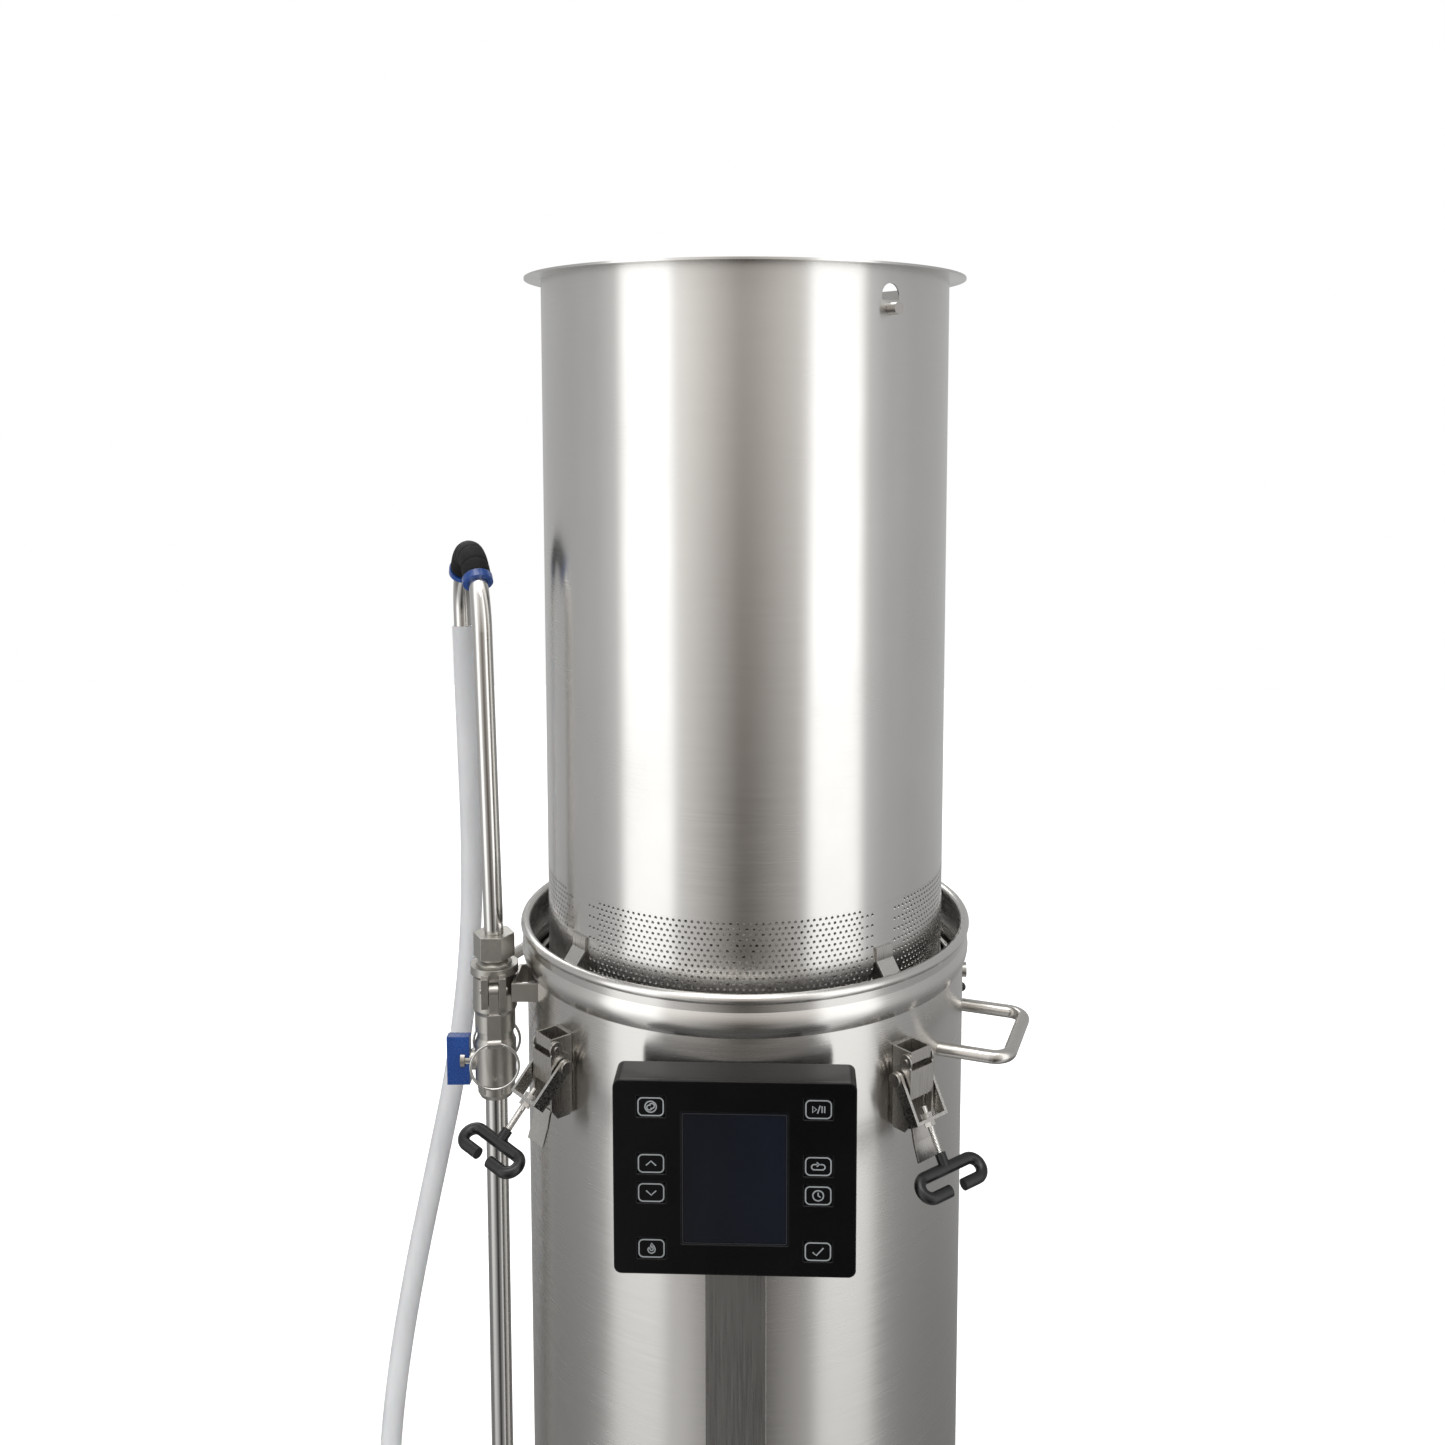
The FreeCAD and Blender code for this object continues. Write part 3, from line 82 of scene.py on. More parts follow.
# ---------------------------------------------------------------- camera
CAMERA_AZIMUTH, CAMERA_DISTANCE, CAMERA_HEIGHT = 2.0, 0.9523, 0.9744
CAMERA_PITCH, CAMERA_LENS, CAMERA_SHIFT = 0.0938, 35.113, (-0.0156, -0.1228)
lens = bpy.data.cameras.new("camera")
lens.sensor_width = 36.0
lens.lens = CAMERA_LENS
lens.shift_x, lens.shift_y = CAMERA_SHIFT
camera = bpy.data.objects.new("camera", lens)
camera.location = outward(CAMERA_AZIMUTH) * CAMERA_DISTANCE + Vector((0, 0, CAMERA_HEIGHT))
camera.rotation_euler = (math.pi / 2 - CAMERA_PITCH, 0.0, math.radians(CAMERA_AZIMUTH))
scene.collection.objects.link(camera)
scene.camera = camera

# ---------------------------------------------------------------- the return hose
HOSE_ROUTE = [
    (-0.2015, 0.0322, 0.8238), (-0.2001, 0.0323, 0.752), (-0.1979, 0.0323, 0.664),
    (-0.2005, 0.0321, 0.585), (-0.2115, 0.0314, 0.500), (-0.2290, 0.0306, 0.420),
    (-0.2460, 0.0286, 0.342), (-0.2590, 0.0235, 0.266), (-0.2650, 0.0150, 0.196),
    (-0.2640, 0.0040, 0.134), (-0.2605, -0.0080, 0.082), (-0.2630, -0.0300, 0.042),
    (-0.2720, -0.0660, 0.015), (-0.2860, -0.1120, 0.0082), (-0.2900, -0.1680, 0.0082),
    (-0.2760, -0.2220, 0.0082),
]
HOSE_LENGTH, HOSE_DIAMETER = 1.0001, 0.0155
hose_line = bpy.data.curves.new("return_hose", "CURVE")
hose_line.dimensions = "3D"
hose_spline = hose_line.splines.new("NURBS")
hose_spline.points.add(len(HOSE_ROUTE) - 1)
for point, spot in zip(hose_spline.points, HOSE_ROUTE):
    point.co = (*spot, 1.0)
    point.radius = HOSE_DIAMETER / 2
hose_spline.order_u = 3
hose_spline.use_endpoint_u = True
hose_line.resolution_u = 12
hose_line.bevel_depth = 1.0
hose_line.bevel_resolution = 8
hose_line.use_fill_caps = True
hose = bpy.data.objects.new("return_hose", hose_line)
scene.collection.objects.link(hose)
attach(hose, "gooseneck")
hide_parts("recirculation_hose")


# ---------------------------------------------------------------- materials
class Finish:
    """A node material around one Principled shader, with the piece's own coordinates."""

    def __init__(self, name, **constants):
        self.material = bpy.data.materials.new(name)
        self.material.use_nodes = True
        self.tree = self.material.node_tree
        self.shader = self.tree.nodes["Principled BSDF"]
        self.place = self.add("TexCoord").outputs["Object"]
        for socket, value in constants.items():
            self.shader.inputs[socket.replace("_", " ")].default_value = value

    def add(self, kind, *links, **settings):
        item = self.tree.nodes.new("ShaderNode" + kind)
        for name, value in settings.items():
            setattr(item, name, value)
        for order, source in enumerate(links):
            if source is None:
                continue
            if isinstance(source, bpy.types.NodeSocket):
                self.tree.links.new(source, item.inputs[order])
            else:
                item.inputs[order].default_value = source
        return item

    def noise(self, scales, detail=2.0, rough=0.5):
        stretched = self.add("VectorMath", self.place, scales, operation="MULTIPLY")
        item = self.add("TexNoise", stretched.outputs[0])
        item.inputs["Scale"].default_value = 1.0
        item.inputs["Detail"].default_value = detail
        item.inputs["Roughness"].default_value = rough
        return item.outputs[0]

    def spread(self, source, low, high, start=0.3, end=0.7):
        return self.add("MapRange", source, start, end, low, high).outputs[0]

    def maths(self, operation, *values):
        return self.add("Math", *values, operation=operation).outputs[0]

    def blend(self, factor, first, second):
        item = self.add("Mix", data_type="RGBA")
        for name, source in (("Factor", factor), ("A", first), ("B", second)):
            socket = [s for s in item.inputs if s.name == name and s.enabled][0]
            if isinstance(source, bpy.types.NodeSocket):
                self.tree.links.new(source, socket)
            else:
                socket.default_value = source
        return [s for s in item.outputs if s.enabled][0]

    def wire(self, source, socket):
        self.tree.links.new(source, self.shader.inputs[socket])

    def bump(self, height, strength, depth, edge=0.0):
        item = self.add("Bump")
        item.inputs["Strength"].default_value = strength
        item.inputs["Distance"].default_value = depth
        self.tree.links.new(height, item.inputs["Height"])
        if edge:
            soft = self.add("Bevel", samples=4)
            soft.inputs["Radius"].default_value = edge
            self.tree.links.new(soft.outputs[0], item.inputs["Normal"])
        self.wire(item.outputs[0], "Normal")


def tone(colour, factor):
    return (*[min(1.0, channel * factor) for channel in colour], 1.0)


def steel(name, colour, rough, grain=(28, 28, 2400), lines=0.05, edge=0.0, turned=True, stain=0.05):
    """Brushed or polished steel: fine grain lines, cloudy handling marks and uneven gloss.

    On turned steel the brushing runs round the axis, so that it blurs reflections upright.
    """
    made = Finish(name, Metallic=1.0, Anisotropic=0.85 if turned else 0.0,
                  Anisotropic_Rotation=0.25)
    fine = made.noise(grain, 3.0)
    cloud = made.noise((9, 9, 7), 4.0, 0.6)
    lined = made.blend(made.spread(fine, 0.0, 1.0), tone(colour, 1 - lines),
                       tone(colour, 1 + lines))
    made.wire(made.blend(made.spread(cloud, 0.0, 1.0), lined, tone(colour, 1 - stain)),
              "Base Color")
    gloss = made.spread(fine, rough - 0.02, rough + 0.03)
    made.wire(made.maths("ADD", gloss, made.spread(cloud, 0.0, 0.05)), "Roughness")
    if turned:
        around = made.add("Tangent", direction_type="RADIAL", axis="Z")
        made.wire(around.outputs[0], "Tangent")
    made.bump(fine, 0.025 if turned else 0.06, 0.00004, edge)
    return made.material


def moulded(name, colour, rough, grain=1400.0, depth=0.00005, edge=0.0, **constants):
    """Plastic or rubber: a fine moulded grain, faint dust and uneven gloss."""
    made = Finish(name, **constants)
    fine = made.noise((grain,) * 3, 2.0)
    cloud = made.noise((22, 22, 22), 4.0, 0.6)
    made.wire(made.blend(made.spread(cloud, 0.0, 1.0), tone(colour, 0.82), tone(colour, 1.25)),
              "Base Color")
    made.wire(made.maths("ADD", made.spread(fine, rough - 0.04, rough + 0.05),
                         made.spread(cloud, 0.0, 0.05)), "Roughness")
    made.bump(fine, 0.35, depth, edge)
    return made.material


def latch_hook(name, azimuth, tilt):
    """Satin strip and threaded rod, and black rubber past the coat's edge along the rod."""
    lean = math.radians(tilt)
    along = outward(azimuth) * math.sin(lean) + Vector((0, 0, -math.cos(lean)))
    pivot = outward(azimuth) * HOOK_PIVOT_RADIUS + Vector((0, 0, HOOK_PIVOT_HEIGHT))
    made = Finish(name)
    offset = made.add("VectorMath", made.place, tuple(pivot), operation="SUBTRACT")
    reach = made.add("VectorMath", offset.outputs[0], tuple(along),
                     operation="DOT_PRODUCT").outputs["Value"]
    coated = made.maths("GREATER_THAN", reach, COAT_START)
    bare = made.maths("SUBTRACT", 1.0, coated)
    fine = made.noise((900, 900, 900), 2.0)
    metal = made.blend(made.spread(fine, 0.0, 1.0), (0.55, 0.535, 0.51, 1),
                       (0.70, 0.68, 0.65, 1))
    made.wire(made.blend(coated, metal, (0.004, 0.004, 0.0045, 1)), "Base Color")
    made.wire(bare, "Metallic")
    made.wire(made.maths("ADD", made.maths("MULTIPLY", coated, 0.08),
                         made.spread(fine, 0.22, 0.32)), "Roughness")
    turns = made.maths("SINE", made.maths("MULTIPLY", reach, 2 * math.pi / THREAD_PITCH))
    threaded = made.maths("MULTIPLY", bare, made.maths("GREATER_THAN", reach, THREAD_START))
    height = made.maths("ADD", made.maths("MULTIPLY", turns, threaded),
                        made.maths("MULTIPLY", fine, 0.25))
    made.bump(height, 0.6, 0.00016, 0.0003)
    return made.material


def hose_silicone():
    made = Finish("hose_silicone", IOR=1.42, Transmission_Weight=0.42, Subsurface_Weight=0.25,
                  Subsurface_Scale=0.004)
    cloud = made.noise((60, 60, 14), 4.0, 0.6)
    made.wire(made.blend(made.spread(cloud, 0, 1), (0.60, 0.61, 0.63, 1), (0.72, 0.73, 0.745, 1)),
              "Base Color")
    made.wire(made.spread(cloud, 0.28, 0.42), "Roughness")
    made.bump(made.noise((500, 500, 120), 2.0), 0.2, 0.00005)
    return made.material


def foam():
    made = Finish("grip_foam_look", Specular_IOR_Level=0.22)
    cell = made.add("TexVoronoi", made.place)
    cell.inputs["Scale"].default_value = 1300.0
    cloud = made.noise((70, 70, 70), 4.0, 0.6)
    made.wire(made.blend(made.spread(cloud, 0, 1), (0.003, 0.003, 0.0035, 1),
                         (0.008, 0.008, 0.009, 1)), "Base Color")
    made.wire(made.spread(cloud, 0.62, 0.85), "Roughness")
    made.bump(cell.outputs["Distance"], 0.5, 0.0002)
    return made.material


def board():
    made = Finish("board_look", Coat_Weight=0.4)
    tracks = made.add("TexBrick", made.place)
    tracks.inputs["Scale"].default_value = 240.0
    made.wire(made.blend(tracks.outputs["Fac"], (0.01, 0.11, 0.05, 1), (0.03, 0.24, 0.11, 1)),
              "Base Color")
    made.wire(made.spread(made.noise((300,) * 3), 0.3, 0.45), "Roughness")
    made.bump(tracks.outputs["Fac"], 0.4, 0.00008)
    return made.material


def screen_glass():
    """An unlit display: near black, and slightly blue in soft cloudy patches."""
    made = Finish("display_look", Coat_Weight=0.6, Coat_Roughness=0.04)
    cloud = made.noise((16, 16, 5), 2.0, 0.5)
    made.wire(made.blend(made.spread(cloud, 0, 1), (0.003, 0.0035, 0.006, 1),
                         (0.007, 0.009, 0.016, 1)), "Base Color")
    made.wire(made.spread(made.noise((700,) * 3), 0.10, 0.16), "Roughness")
    made.bump(made.noise((700,) * 3), 0.1, 0.00002, 0.0003)
    return made.material


FLAT_GRAIN = (900, 900, 60)
LOOKS = {
    "boiler_steel": steel("boiler_look", (0.67, 0.655, 0.63), 0.22, lines=0.03),
    "malt_steel": steel("malt_look", (0.70, 0.69, 0.67), 0.21, lines=0.025),
    "screen_steel": steel("screen_look", (0.60, 0.59, 0.57), 0.26, (600, 600, 600), turned=False),
    "tab_steel": steel("tab_look", (0.60, 0.585, 0.56), 0.26, FLAT_GRAIN, turned=False,
                       edge=0.0004),
    "wire_steel": steel("wire_look", (0.68, 0.67, 0.65), 0.13, (500,) * 3, 0.05, turned=False),
    "screw_steel": steel("screw_look", (0.56, 0.55, 0.53), 0.24, (700,) * 3, turned=False,
                         edge=0.0005),
    "bar_steel": steel("bar_look", (0.60, 0.58, 0.55), 0.21, (500,) * 3, 0.07, turned=False),
    "probe_steel": steel("probe_look", (0.6, 0.6, 0.59), 0.22, (500,) * 3, turned=False),
    "filter_steel": steel("filter_look", (0.55, 0.55, 0.54), 0.34, (1300,) * 3, 0.3, turned=False),
    "tube_steel": steel("tube_look", (0.66, 0.65, 0.63), 0.12, (120, 120, 30), 0.04, turned=False),
    "cast_steel": steel("cast_look", (0.50, 0.485, 0.45), 0.33, (420,) * 3, 0.14, 0.0007, False,
                        0.16),
    "ball_steel": steel("ball_look", (0.7, 0.7, 0.69), 0.08, (300,) * 3, 0.03, turned=False),
    "strip_steel": steel("strip_look", (0.50, 0.475, 0.44), 0.30, FLAT_GRAIN, 0.14, 0.0004, False),
    "cam_steel": steel("cam_look", (0.50, 0.485, 0.455), 0.36, (420,) * 3, 0.12, 0.0006, False,
                       0.12),
    "latch_steel": steel("latch_look", (0.60, 0.58, 0.55), 0.25, FLAT_GRAIN, 0.1, 0.0004, False),
    "duct_steel": steel("duct_look", (0.58, 0.57, 0.55), 0.26, (900, 900, 24), 0.1, 0.0004, False),
    "element_aluminium": steel("element_look", (0.55, 0.55, 0.55), 0.4, (350,) * 3, 0.1, 0.0005,
                               False),
    "base_plastic": moulded("base_look", (0.030, 0.031, 0.034), 0.48, 900.0, 0.00012, 0.0006),
    "base_sheet": moulded("base_sheet_look", (0.05, 0.05, 0.055), 0.5, 700.0, 0.0001, 0.0004),
    "foot_rubber": moulded("foot_look", (0.018, 0.018, 0.018), 0.72, 1100.0, 0.0001, 0.0006),
    "black_plastic": moulded("black_look", (0.018, 0.018, 0.019), 0.42, edge=0.0005),
    "motor_black": moulded("motor_look", (0.03, 0.03, 0.032), 0.46, 800.0, 0.0001, 0.0006),
    "pump_plastic": moulded("pump_look", (0.5, 0.5, 0.47), 0.45, edge=0.0006),
    "blue_plastic": moulded("blue_look", (0.003, 0.040, 0.20), 0.24, 1000.0, 0.00004, 0.0012,
                             Coat_Weight=0.35),
    "gloss_black": moulded("panel_look", (0.0022, 0.0022, 0.0025), 0.16, 1600.0, 0.00001, 0.0012,
                           Specular_IOR_Level=0.35),
    "key_black": moulded("key_look", (0.0025, 0.0025, 0.003), 0.18, 1600.0, 0.00001, 0.0003,
                         Specular_IOR_Level=0.35),
    "silicone": hose_silicone(),
    "grip_foam": foam(),
    "board_green": board(),
    "display_glass": screen_glass(),
}
HOOK_LOOKS = {name: latch_hook("hook_look_" + name, *hang) for name, hang in LATCHES.items()}
PRINT_LOOK = moulded("print_look", (0.20, 0.215, 0.225), 0.5, 1200.0, 0.00001)
BEZEL_LOOK = moulded("bezel_look", (0.016, 0.017, 0.019), 0.3, 1200.0, 0.00001)

for part in frame["record"]["subparts"]:
    node, slot = part["node"], part["material_slot"]
    if slot == "latch_hook":
        look = HOOK_LOOKS[node.replace("latch_bail_", "")]
    else:
        look = LOOKS[slot]
    for holder in NODES[node].material_slots:
        holder.material = look
hose.data.materials.append(LOOKS["silicone"])


# ---------------------------------------------------------------- mesh helpers
def add_piece(name, verts, faces, body, look, replaces=()):
    data = bpy.data.meshes.new(name)
    data.from_pydata(verts, [], faces)
    data.validate()
    item = bpy.data.objects.new(name, data)
    scene.collection.objects.link(item)
    data.materials.append(look)
    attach(item, body)
    if replaces:
        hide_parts(*replaces)
    return item


def tidy_mesh(item, angle=35):
    made = bmesh.new()
    made.from_mesh(item.data)
    bmesh.ops.recalc_face_normals(made, faces=made.faces)
    made.to_mesh(item.data)
    made.free()
    item.data.shade_smooth()
    item.data.set_sharp_from_angle(angle=math.radians(angle))


def round_wall_normals(data):
    """Gives a thin upright wall the normals of a true cylinder, and keeps its edges sharp."""
    data.shade_smooth()
    normals = []
    for face in data.polygons:
        for index in face.vertices:
            away = Vector((*data.vertices[index].co.xy, 0)).normalized()
            lean = face.normal.dot(away)
            normals.append(away * math.copysign(1, lean) if abs(lean) > 0.9 else face.normal.copy())
    data.normals_split_custom_set(normals)


# ---------------------------------------------------------------- malt pipe with its holes
def perforated_band():
    """The band's two skins and the walls of its holes, as vertices and faces."""
    verts, faces = [], []
    half_steps = 2 * BAND_COLUMNS
    lines, mids = {}, {}

    def spot(step, height):
        turn = math.pi * step / BAND_COLUMNS
        pair = []
        for radius in (MALT_RADIUS, MALT_RADIUS - MALT_WALL):
            verts.append((radius * math.sin(turn), -radius * math.cos(turn), height))
            pair.append(len(verts) - 1)
        return pair

    for line in range(BAND_ROWS + 1):
        for step in range(half_steps):
            lines[line, step] = spot(step, BAND_LOW + line * ROW_PITCH)
    for row in range(BAND_ROWS):
        middle = BAND_LOW + (row + 0.5) * ROW_PITCH
        shift = row % 2
        for column in range(BAND_COLUMNS):
            step = (2 * column + shift) % half_steps
            mids[row, step] = spot(step, middle)
        for column in range(BAND_COLUMNS):
            first = (2 * column + shift) % half_steps
            centre, last = (first + 1) % half_steps, (first + 2) % half_steps
            edge = [lines[row, first], lines[row, centre], lines[row, last], mids[row, last],
                    lines[row + 1, last], lines[row + 1, centre], lines[row + 1, first],
                    mids[row, first]]
            azimuth = 180.0 * (first + 1) / BAND_COLUMNS
            apart = abs((azimuth - FOOT_AZIMUTH + 45) % 90 - 45)
            away = math.radians(apart) * MALT_RADIUS
            if away < (STRIP_WIDE if row % 2 else STRIP_HALF):
                faces.append([pair[0] for pair in edge])
                faces.append([pair[1] for pair in reversed(edge)])
                continue
            ring = []
            for order in range(8):
                angle = math.radians(225 + 45 * order)
                aside = HOLE_RADIUS * math.cos(angle) / MALT_RADIUS * BAND_COLUMNS / math.pi
                step = first + 1 + aside
                ring.append(spot(step, middle + HOLE_RADIUS * math.sin(angle)))
            for order in range(8):
                after = (order + 1) % 8
                faces.append([edge[order][0], edge[after][0], ring[after][0], ring[order][0]])
                faces.append([edge[after][1], edge[order][1], ring[order][1], ring[after][1]])
                faces.append([ring[order][0], ring[after][0], ring[after][1], ring[order][1]])
    return verts, faces


def malt_pipe():
    shell = bmesh.new()
    shell.from_mesh(NODES["malt_pipe_shell"].data)
    top = BAND_LOW + BAND_ROWS * ROW_PITCH
    for height in (BAND_LOW, top):
        bmesh.ops.bisect_plane(shell, geom=shell.verts[:] + shell.edges[:] + shell.faces[:],
                               plane_co=(0, 0, height), plane_no=(0, 0, 1))
    inside = [face for face in shell.faces if BAND_LOW < face.calc_center_median().z < top
              and Vector(face.calc_center_median().xy).length > 0.13]
    bmesh.ops.delete(shell, geom=inside, context="FACES")
    rest = bpy.data.meshes.new("malt_pipe_rest")
    shell.to_mesh(rest)
    shell.free()
    verts, faces = perforated_band()
    count = len(verts)
    verts += [tuple(vertex.co) for vertex in rest.vertices]
    faces += [[count + index for index in face.vertices] for face in rest.polygons]
    item = add_piece("malt_pipe_wall", verts, faces, "malt_pipe", LOOKS["malt_steel"],
                     ["malt_pipe_shell"])
    round_wall_normals(item.data)


def lathe(profile, steps=144):
    """Vertices and faces of a closed (radius, height) profile turned about the axis."""
    verts, faces = [], []
    count = len(profile)
    for turn in range(steps):
        angle = 2 * math.pi * turn / steps
        verts += [(radius * math.sin(angle), -radius * math.cos(angle), height)
                  for radius, height in profile]
    for turn in range(steps):
        after = (turn + 1) % steps
        for order in range(count):
            follow = (order + 1) % count
            faces.append([turn * count + order, turn * count + follow,
                          after * count + follow, after * count + order])
    return verts, faces


def bottom_screen():
    """A punched plate with a plain margin, an upright rim and a centre boss."""
    low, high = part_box("bottom_screen")
    floor, outer = low[2], high[0]
    gauge, across, along, reach, hole, skin = 0.0012, 0.0060, 0.0052, 0.1235, 0.0016, 0.0002
    boss, boss_top, wall_top = 0.006, 0.008, 0.006
    verts, faces = lathe([(outer, floor), (outer, floor + wall_top),
                          (outer - gauge, floor + wall_top),
                          (outer - gauge, floor + gauge), (0.1175, floor + gauge), (0.1175, floor)])

    def extend(more):
        count = len(verts)
        verts.extend(more[0])
        faces.extend([[count + index for index in face] for face in more[1]])

    extend(lathe([(0.0001, floor), (boss, floor), (boss, floor + boss_top - 0.0008),
                  (boss - 0.0008, floor + boss_top), (0.0001, floor + boss_top)], 36))
    rows = int(reach / along)
    for row in range(-rows, rows + 1):
        shift = 0.5 * (row % 2)
        for column in range(-24, 25):
            x, y = (column + shift) * across, row * along
            if not 0.009 < math.hypot(x, y) < reach - 0.004:
                continue
            count = len(verts)
            for height in (floor + skin, floor + gauge - skin):
                for size_x, size_y in ((across / 2, along / 2), (hole, hole)):
                    for order in range(8):
                        angle = math.radians(225 + 45 * order)
                        cosine, sine = math.cos(angle), math.sin(angle)
                        if size_x != size_y:
                            scale = 1 / max(abs(cosine), abs(sine))
                            cosine, sine = cosine * scale, sine * scale
                        verts.append((x + size_x * cosine, y + size_y * sine, height))
            for order in range(8):
                here, after = count + order, count + (order + 1) % 8
                faces.append([after, here, here + 8, after + 8])
                faces.append([here + 16, after + 16, after + 24, here + 24])
                faces.append([after + 8, here + 8, here + 24, after + 24])
    item = add_piece("punched_screen", verts, faces, "screen",
                     LOOKS["screen_steel"], ["bottom_screen"])
    tidy_mesh(item)


# ---------------------------------------------------------------- gooseneck grip
def grip():
    """The foam sleeve round the arch, with shallow ring wrinkles and rolled ends."""
    heading = Vector((-math.sin(NECK_TURN), math.cos(NECK_TURN), 0))
    middle = RISER + heading * ARCH_RADIUS + Vector((0, 0, ARCH_HEIGHT))
    foot = RISER + Vector((0, 0, NECK_FOOT))
    lean = Matrix.Rotation(-NECK_LEAN, 3, Vector((-math.sin(RISER_TURN), math.cos(RISER_TURN), 0)))
    side = heading.cross(Vector((0, 0, 1)))
    rings, around = 90, 40
    verts, faces = [], []
    for ring in range(rings + 1):
        part = ring / rings
        angle = math.pi / 2 + GRIP_SPREAD * (2 * part - 1)
        away = -heading * math.cos(angle) + Vector((0, 0, math.sin(angle)))
        end = min(part, 1 - part) / GRIP_END
        radius = GRIP_RADIUS - GRIP_ROLL * max(0.0, 1 - end) ** 2
        for wrinkle, depth in GRIP_WRINKLES:
            radius -= WRINKLE_DEPTH * depth * math.exp(-((part - wrinkle) / WRINKLE_WIDTH) ** 2)
        for step in range(around):
            turn = 2 * math.pi * step / around
            spot = (middle + away * (ARCH_RADIUS + radius * math.cos(turn))
                    + side * radius * math.sin(turn))
            verts.append(tuple(foot + lean @ (spot - foot)))
    for ring in range(rings):
        for step in range(around):
            after = (step + 1) % around
            faces.append([ring * around + step, ring * around + after,
                          (ring + 1) * around + after, (ring + 1) * around + step])
    faces.append(list(range(around)))
    faces.append([rings * around + step for step in reversed(range(around))])
    item = add_piece("foam_grip", verts, faces, "gooseneck", LOOKS["grip_foam"],
                     ["grip_sleeve"])
    tidy_mesh(item, 50)


# ---------------------------------------------------------------- panel prints
def arc(x, z, radius, start, end, steps=14):
    return [(x + radius * math.cos(math.radians(start + (end - start) * step / steps)),
             z + radius * math.sin(math.radians(start + (end - start) * step / steps)))
            for step in range(steps + 1)]


def rounded(half_x, half_z, corner):
    line = []
    for x, z, start in ((1, 1, 0), (-1, 1, 90), (-1, -1, 180), (1, -1, 270)):
        line += arc(x * (half_x - corner), z * (half_z - corner), corner, start, start + 90, 6)
    return line + [line[0]]


def prints(name, lines, width, centre, body, look):
    """Flat raised strokes on the panel's face; sizes in millimetres round a centre in metres."""
    verts, faces = [], []
    back, front = -(PANEL_FRONT - 0.00005), -(PANEL_FRONT + 0.00008)
    for line in lines:
        closed = math.dist(line[0], line[-1]) < 1e-6
        spots = line[:-1] if closed else line
        count = len(spots)
        first = len(verts)
        for order, (x, z) in enumerate(spots):
            before = spots[order - 1] if closed or order else spots[0]
            after = spots[(order + 1) % count] if closed or order < count - 1 else spots[-1]
            run = Vector((after[0] - before[0], after[1] - before[1])).normalized()
            for sign in (-1, 1):
                px, pz = x - run.y * sign * width / 2, z + run.x * sign * width / 2
                for depth in (back, front):
                    verts.append((centre[0] + px / 1000, depth, centre[1] + pz / 1000))
        for order in range(count if closed else count - 1):
            a, b = first + 4 * order, first + 4 * ((order + 1) % count)
            faces += [[a + 1, b + 1, b + 3, a + 3], [a, a + 1, b + 1, b],
                      [a + 2, b + 2, b + 3, a + 3], [a, b, b + 2, a + 2]]
        if not closed:
            end = first + 4 * (count - 1)
            faces += [[first, first + 2, first + 3, first + 1], [end, end + 1, end + 3, end + 2]]
    item = add_piece(name, verts, faces, body, look)
    tidy_mesh(item, 30)


def flame(scale):
    spots = [(0, 3.2), (1.5, 1.2), (2.2, -0.6), (1.7, -2.2), (0, -3.1), (-1.7, -2.2), (-2.2, -0.6),
             (-1.3, 0.6), (-0.6, 0.2), (-0.5, 1.6), (0, 3.2)]
    return [(x * scale, z * scale) for x, z in spots]


SIGNS = {
    "top_left": [arc(0, 0, 3.3, 0, 360, 26), arc(0.7, 0.5, 1.5, -120, 150),
                 arc(-0.7, -0.5, 1.5, 60, 330)],
    "top_right": [[(-3.4, -1.9), (-3.4, 1.9), (-1.2, 0.0), (-3.4, -1.9)],
                  [(-0.6, -2.4), (0.9, 2.4)], [(2.0, -2.0), (2.0, 2.0)], [(3.5, -2.0), (3.5, 2.0)]],
    "upper_left": [[(-2.9, -1.2), (0, 1.5), (2.9, -1.2)]],
    "upper_right": [[(1.2, 1.2), *arc(2.3, -0.4, 1.6, 90, -90, 8),
                     *arc(-2.3, -0.4, 1.6, -90, -270, 8), (-0.6, 1.2)],
                    [(-0.9, 2.5), (0.7, 1.2), (-0.9, -0.1)]],
    "lower_left": [[(-2.9, 1.2), (0, -1.5), (2.9, 1.2)]],
    "lower_right": [arc(0, 0, 3.1, 0, 360, 24), [(0, 1.9), (0, 0), (1.4, -0.9)]],
    "bottom_left": [flame(1.0), flame(0.45)],
    "bottom_right": [[(-3.0, -0.4), (-0.9, -2.3), (3.2, 2.3)]],
}


def panel():
    for side, sign in (("left", -1), ("right", 1)):
        for row, drop in KEY_ROWS.items():
            key = row + "_" + side
            centre = (sign * KEY_COLUMN, RIM - drop / 1000)
            prints("print_" + key, [rounded(*KEY_HALF, KEY_CORNER), *SIGNS[key]], STROKE, centre,
                   "key_" + key, PRINT_LOOK)
    middle = (0, RIM - BEZEL_DROP)
    prints("display_bezel", [rounded(*BEZEL_HALF, BEZEL_CORNER)], BEZEL_STROKE, middle, "boiler",
           BEZEL_LOOK)


malt_pipe()
bottom_screen()
grip()
panel()

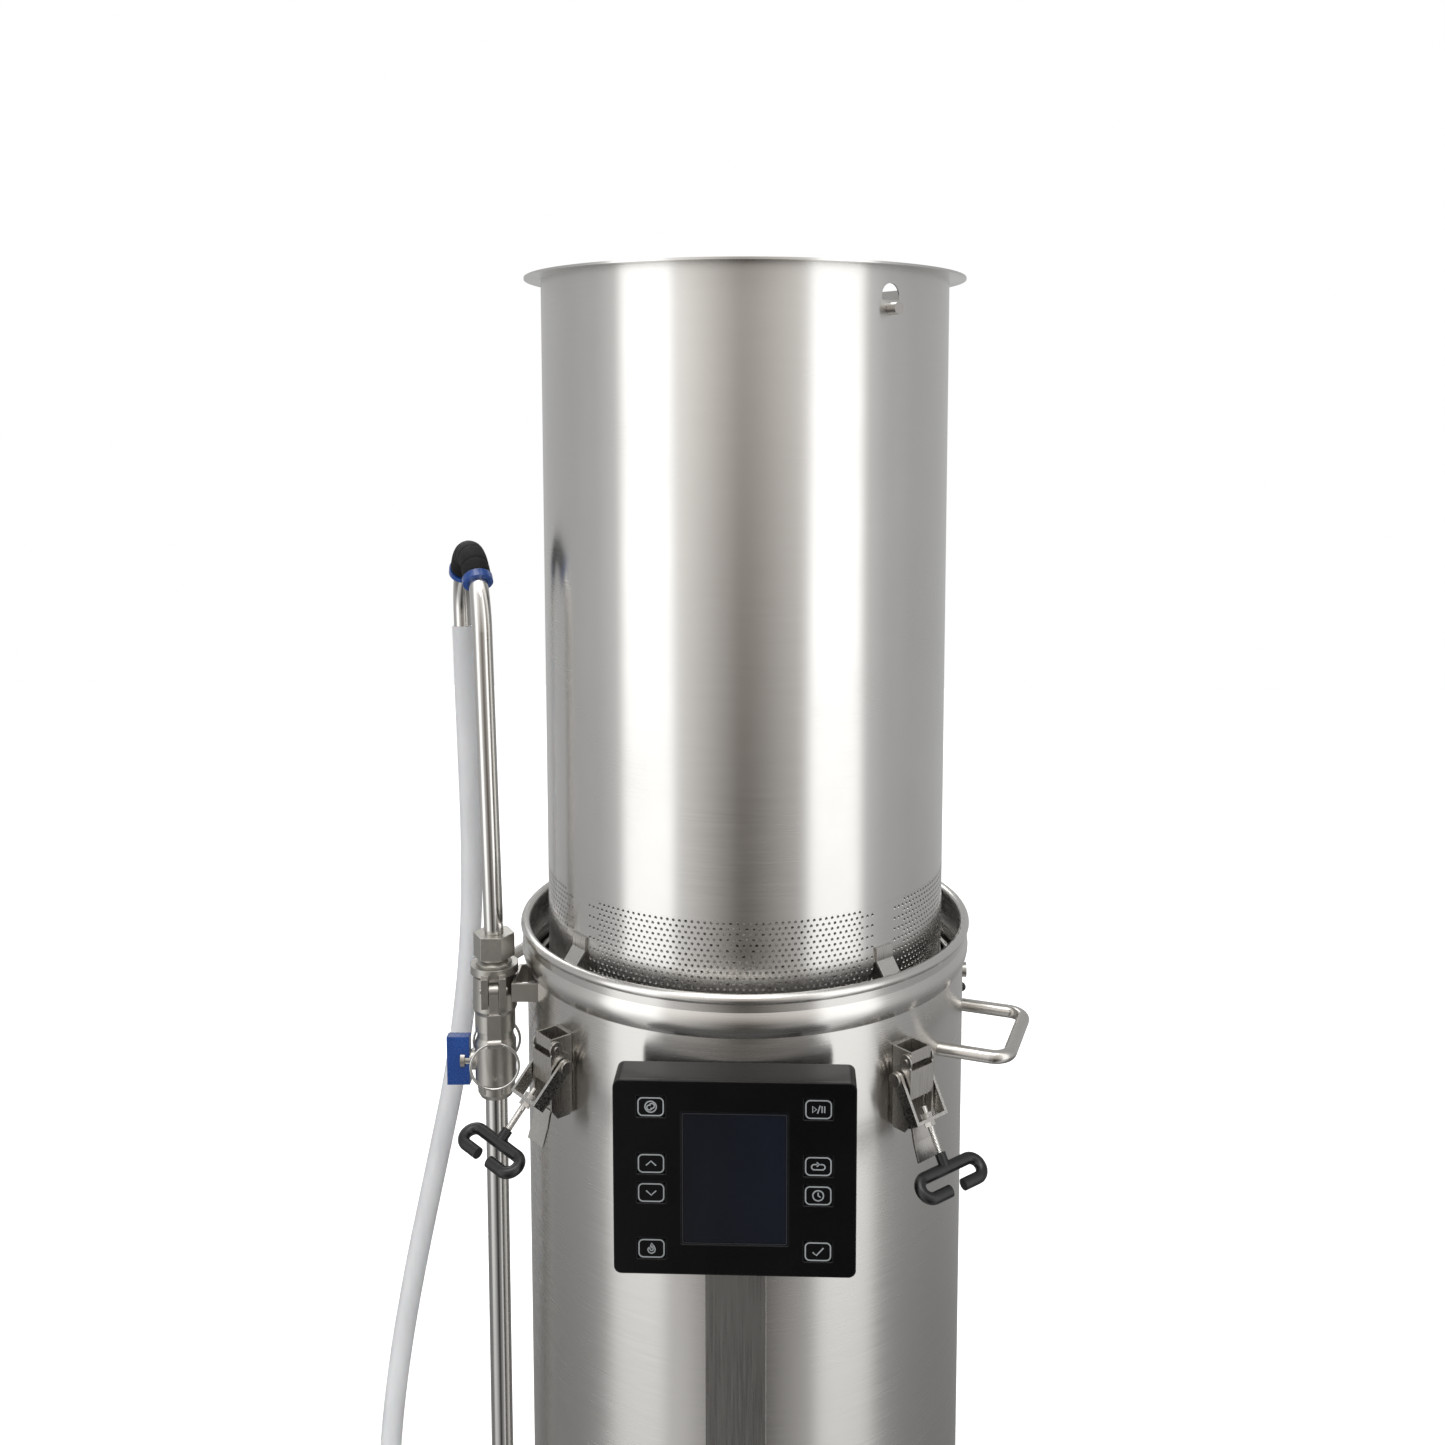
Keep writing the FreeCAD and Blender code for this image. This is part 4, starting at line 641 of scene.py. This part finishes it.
# ---------------------------------------------------------------- floor and light
FLOOR_HALF, FLOOR_GLOW = 4.0, 0.42
floor_mesh = bpy.data.meshes.new("floor")
floor_mesh.from_pydata([(-FLOOR_HALF, -FLOOR_HALF, 0), (FLOOR_HALF, -FLOOR_HALF, 0),
                        (FLOOR_HALF, FLOOR_HALF, 0), (-FLOOR_HALF, FLOOR_HALF, 0)],
                       [], [(0, 1, 2, 3)])
floor = bpy.data.objects.new("floor", floor_mesh)
scene.collection.objects.link(floor)
floor_look = Finish("floor_look", Base_Color=(0.93, 0.93, 0.93, 1), Roughness=0.9)
floor_look.shader.inputs["Specular IOR Level"].default_value = 0.1
floor_look.shader.inputs["Emission Color"].default_value = (1, 1, 1, 1)
floor_look.shader.inputs["Emission Strength"].default_value = FLOOR_GLOW
floor_mesh.materials.append(floor_look.material)
floor.visible_glossy = False


# Ramp stops, as (position, level). The apart ramps go from the front, 0, to the back, 1.
BOXES_APART = [(0.19, 0.6), (0.228, 1.0), (0.366, 1.0), (0.408, 0.40), (0.50, 0.31), (0.62, 0.28),
               (1.0, 0.29)]
SLOPE_APART = [(0.0, 0.0), (0.20, 0.20)]
EDGE_APART = [(0.165, 0.0), (0.225, 1.0)]
BOXES_RISE = [(0.0, 0.42), (0.15, 0.66), (0.27, 1.0)]
MIDDLE_RISE = [(0.0, (0.03, 0.028, 0.026)), (0.15, (0.008, 0.007, 0.006)),
               (0.21, (0.022, 0.019, 0.016)), (0.26, (0.078, 0.068, 0.060)),
               (0.38, (0.155, 0.138, 0.122)), (0.50, (0.27, 0.25, 0.23)),
               (1.0, (0.39, 0.375, 0.36))]
LEFT_BEARING = [(0.408, 0.15), (0.442, 0.09), (0.475, 0.055), (0.5, 0.0)]
STUDIO_STRENGTH = 1.75


def studio():
    """A pale room: two tall soft boxes at the front's sides, and a dim middle between them.

    The middle is darker lower down and a little lighter on its left.
    """
    world = bpy.data.worlds.new("studio")
    scene.world = world
    world.use_nodes = True
    tree = world.node_tree
    tree.nodes.clear()

    def add(kind, *values, **settings):
        item = tree.nodes.new("ShaderNode" + kind)
        for name, value in settings.items():
            setattr(item, name, value)
        for order, value in enumerate(values):
            if isinstance(value, bpy.types.NodeSocket):
                tree.links.new(value, item.inputs[order])
            else:
                item.inputs[order].default_value = value
        return item

    def ramp(source, stops):
        item = add("ValToRGB", source)
        item.color_ramp.interpolation = "EASE"
        while len(item.color_ramp.elements) < len(stops):
            item.color_ramp.elements.new(0.5)
        for element, (position, level) in zip(item.color_ramp.elements, stops):
            element.position = position
            element.color = (*level, 1) if isinstance(level, tuple) else (level, level, level, 1)
        return item.outputs[0]

    ways = add("SeparateXYZ", add("TexCoord").outputs["Generated"]).outputs
    forward = add("Math", ways[1], -1.0, operation="MULTIPLY").outputs[0]
    bearing = add("Math", ways[0], forward, operation="ARCTAN2").outputs[0]
    apart = add("Math", add("Math", bearing, operation="ABSOLUTE").outputs[0], math.pi,
                operation="DIVIDE").outputs[0]
    rise = add("MapRange", ways[2], -0.6, 0.6, 0.0, 1.0).outputs[0]
    boxes = ramp(apart, BOXES_APART)
    fading = ramp(rise, BOXES_RISE)
    sides = add("VectorMath", boxes, fading, operation="MULTIPLY").outputs[0]
    centre = ramp(rise, MIDDLE_RISE)
    slope = ramp(apart, SLOPE_APART)
    signed = add("MapRange", bearing, -math.pi, math.pi, 0.0, 1.0).outputs[0]
    left = ramp(signed, LEFT_BEARING)
    middle = add("VectorMath", centre, slope, operation="ADD").outputs[0]
    middle = add("VectorMath", middle, left, operation="ADD").outputs[0]
    edge = ramp(apart, EDGE_APART)
    mixed = add("MixRGB", edge, middle, sides).outputs[0]
    back = add("Background", mixed, STUDIO_STRENGTH).outputs[0]
    seen = add("Background", (1, 1, 1, 1), 1.0).outputs[0]
    rays = add("LightPath").outputs["Is Camera Ray"]
    final = add("MixShader", rays, back, seen)
    out = add("OutputWorld")
    tree.links.new(final.outputs[0], out.inputs["Surface"])


def soft_box(name, spot, aim, size, power):
    lamp = bpy.data.lights.new(name, "AREA")
    lamp.shape = "RECTANGLE"
    lamp.size, lamp.size_y = size
    lamp.energy = power
    item = bpy.data.objects.new(name, lamp)
    item.location = spot
    item.rotation_euler = (Vector(aim) - Vector(spot)).to_track_quat("-Z", "Y").to_euler()
    scene.collection.objects.link(item)


studio()
soft_box("top_light", (-0.15, -0.9, 2.8), (0, 0, 0.6), (1.6, 1.2), 20)
soft_box("back_light", (-0.9, 1.6, 2.2), (0, 0, 0.6), (1.4, 1.4), 16)
scene.view_settings.view_transform = "Standard"
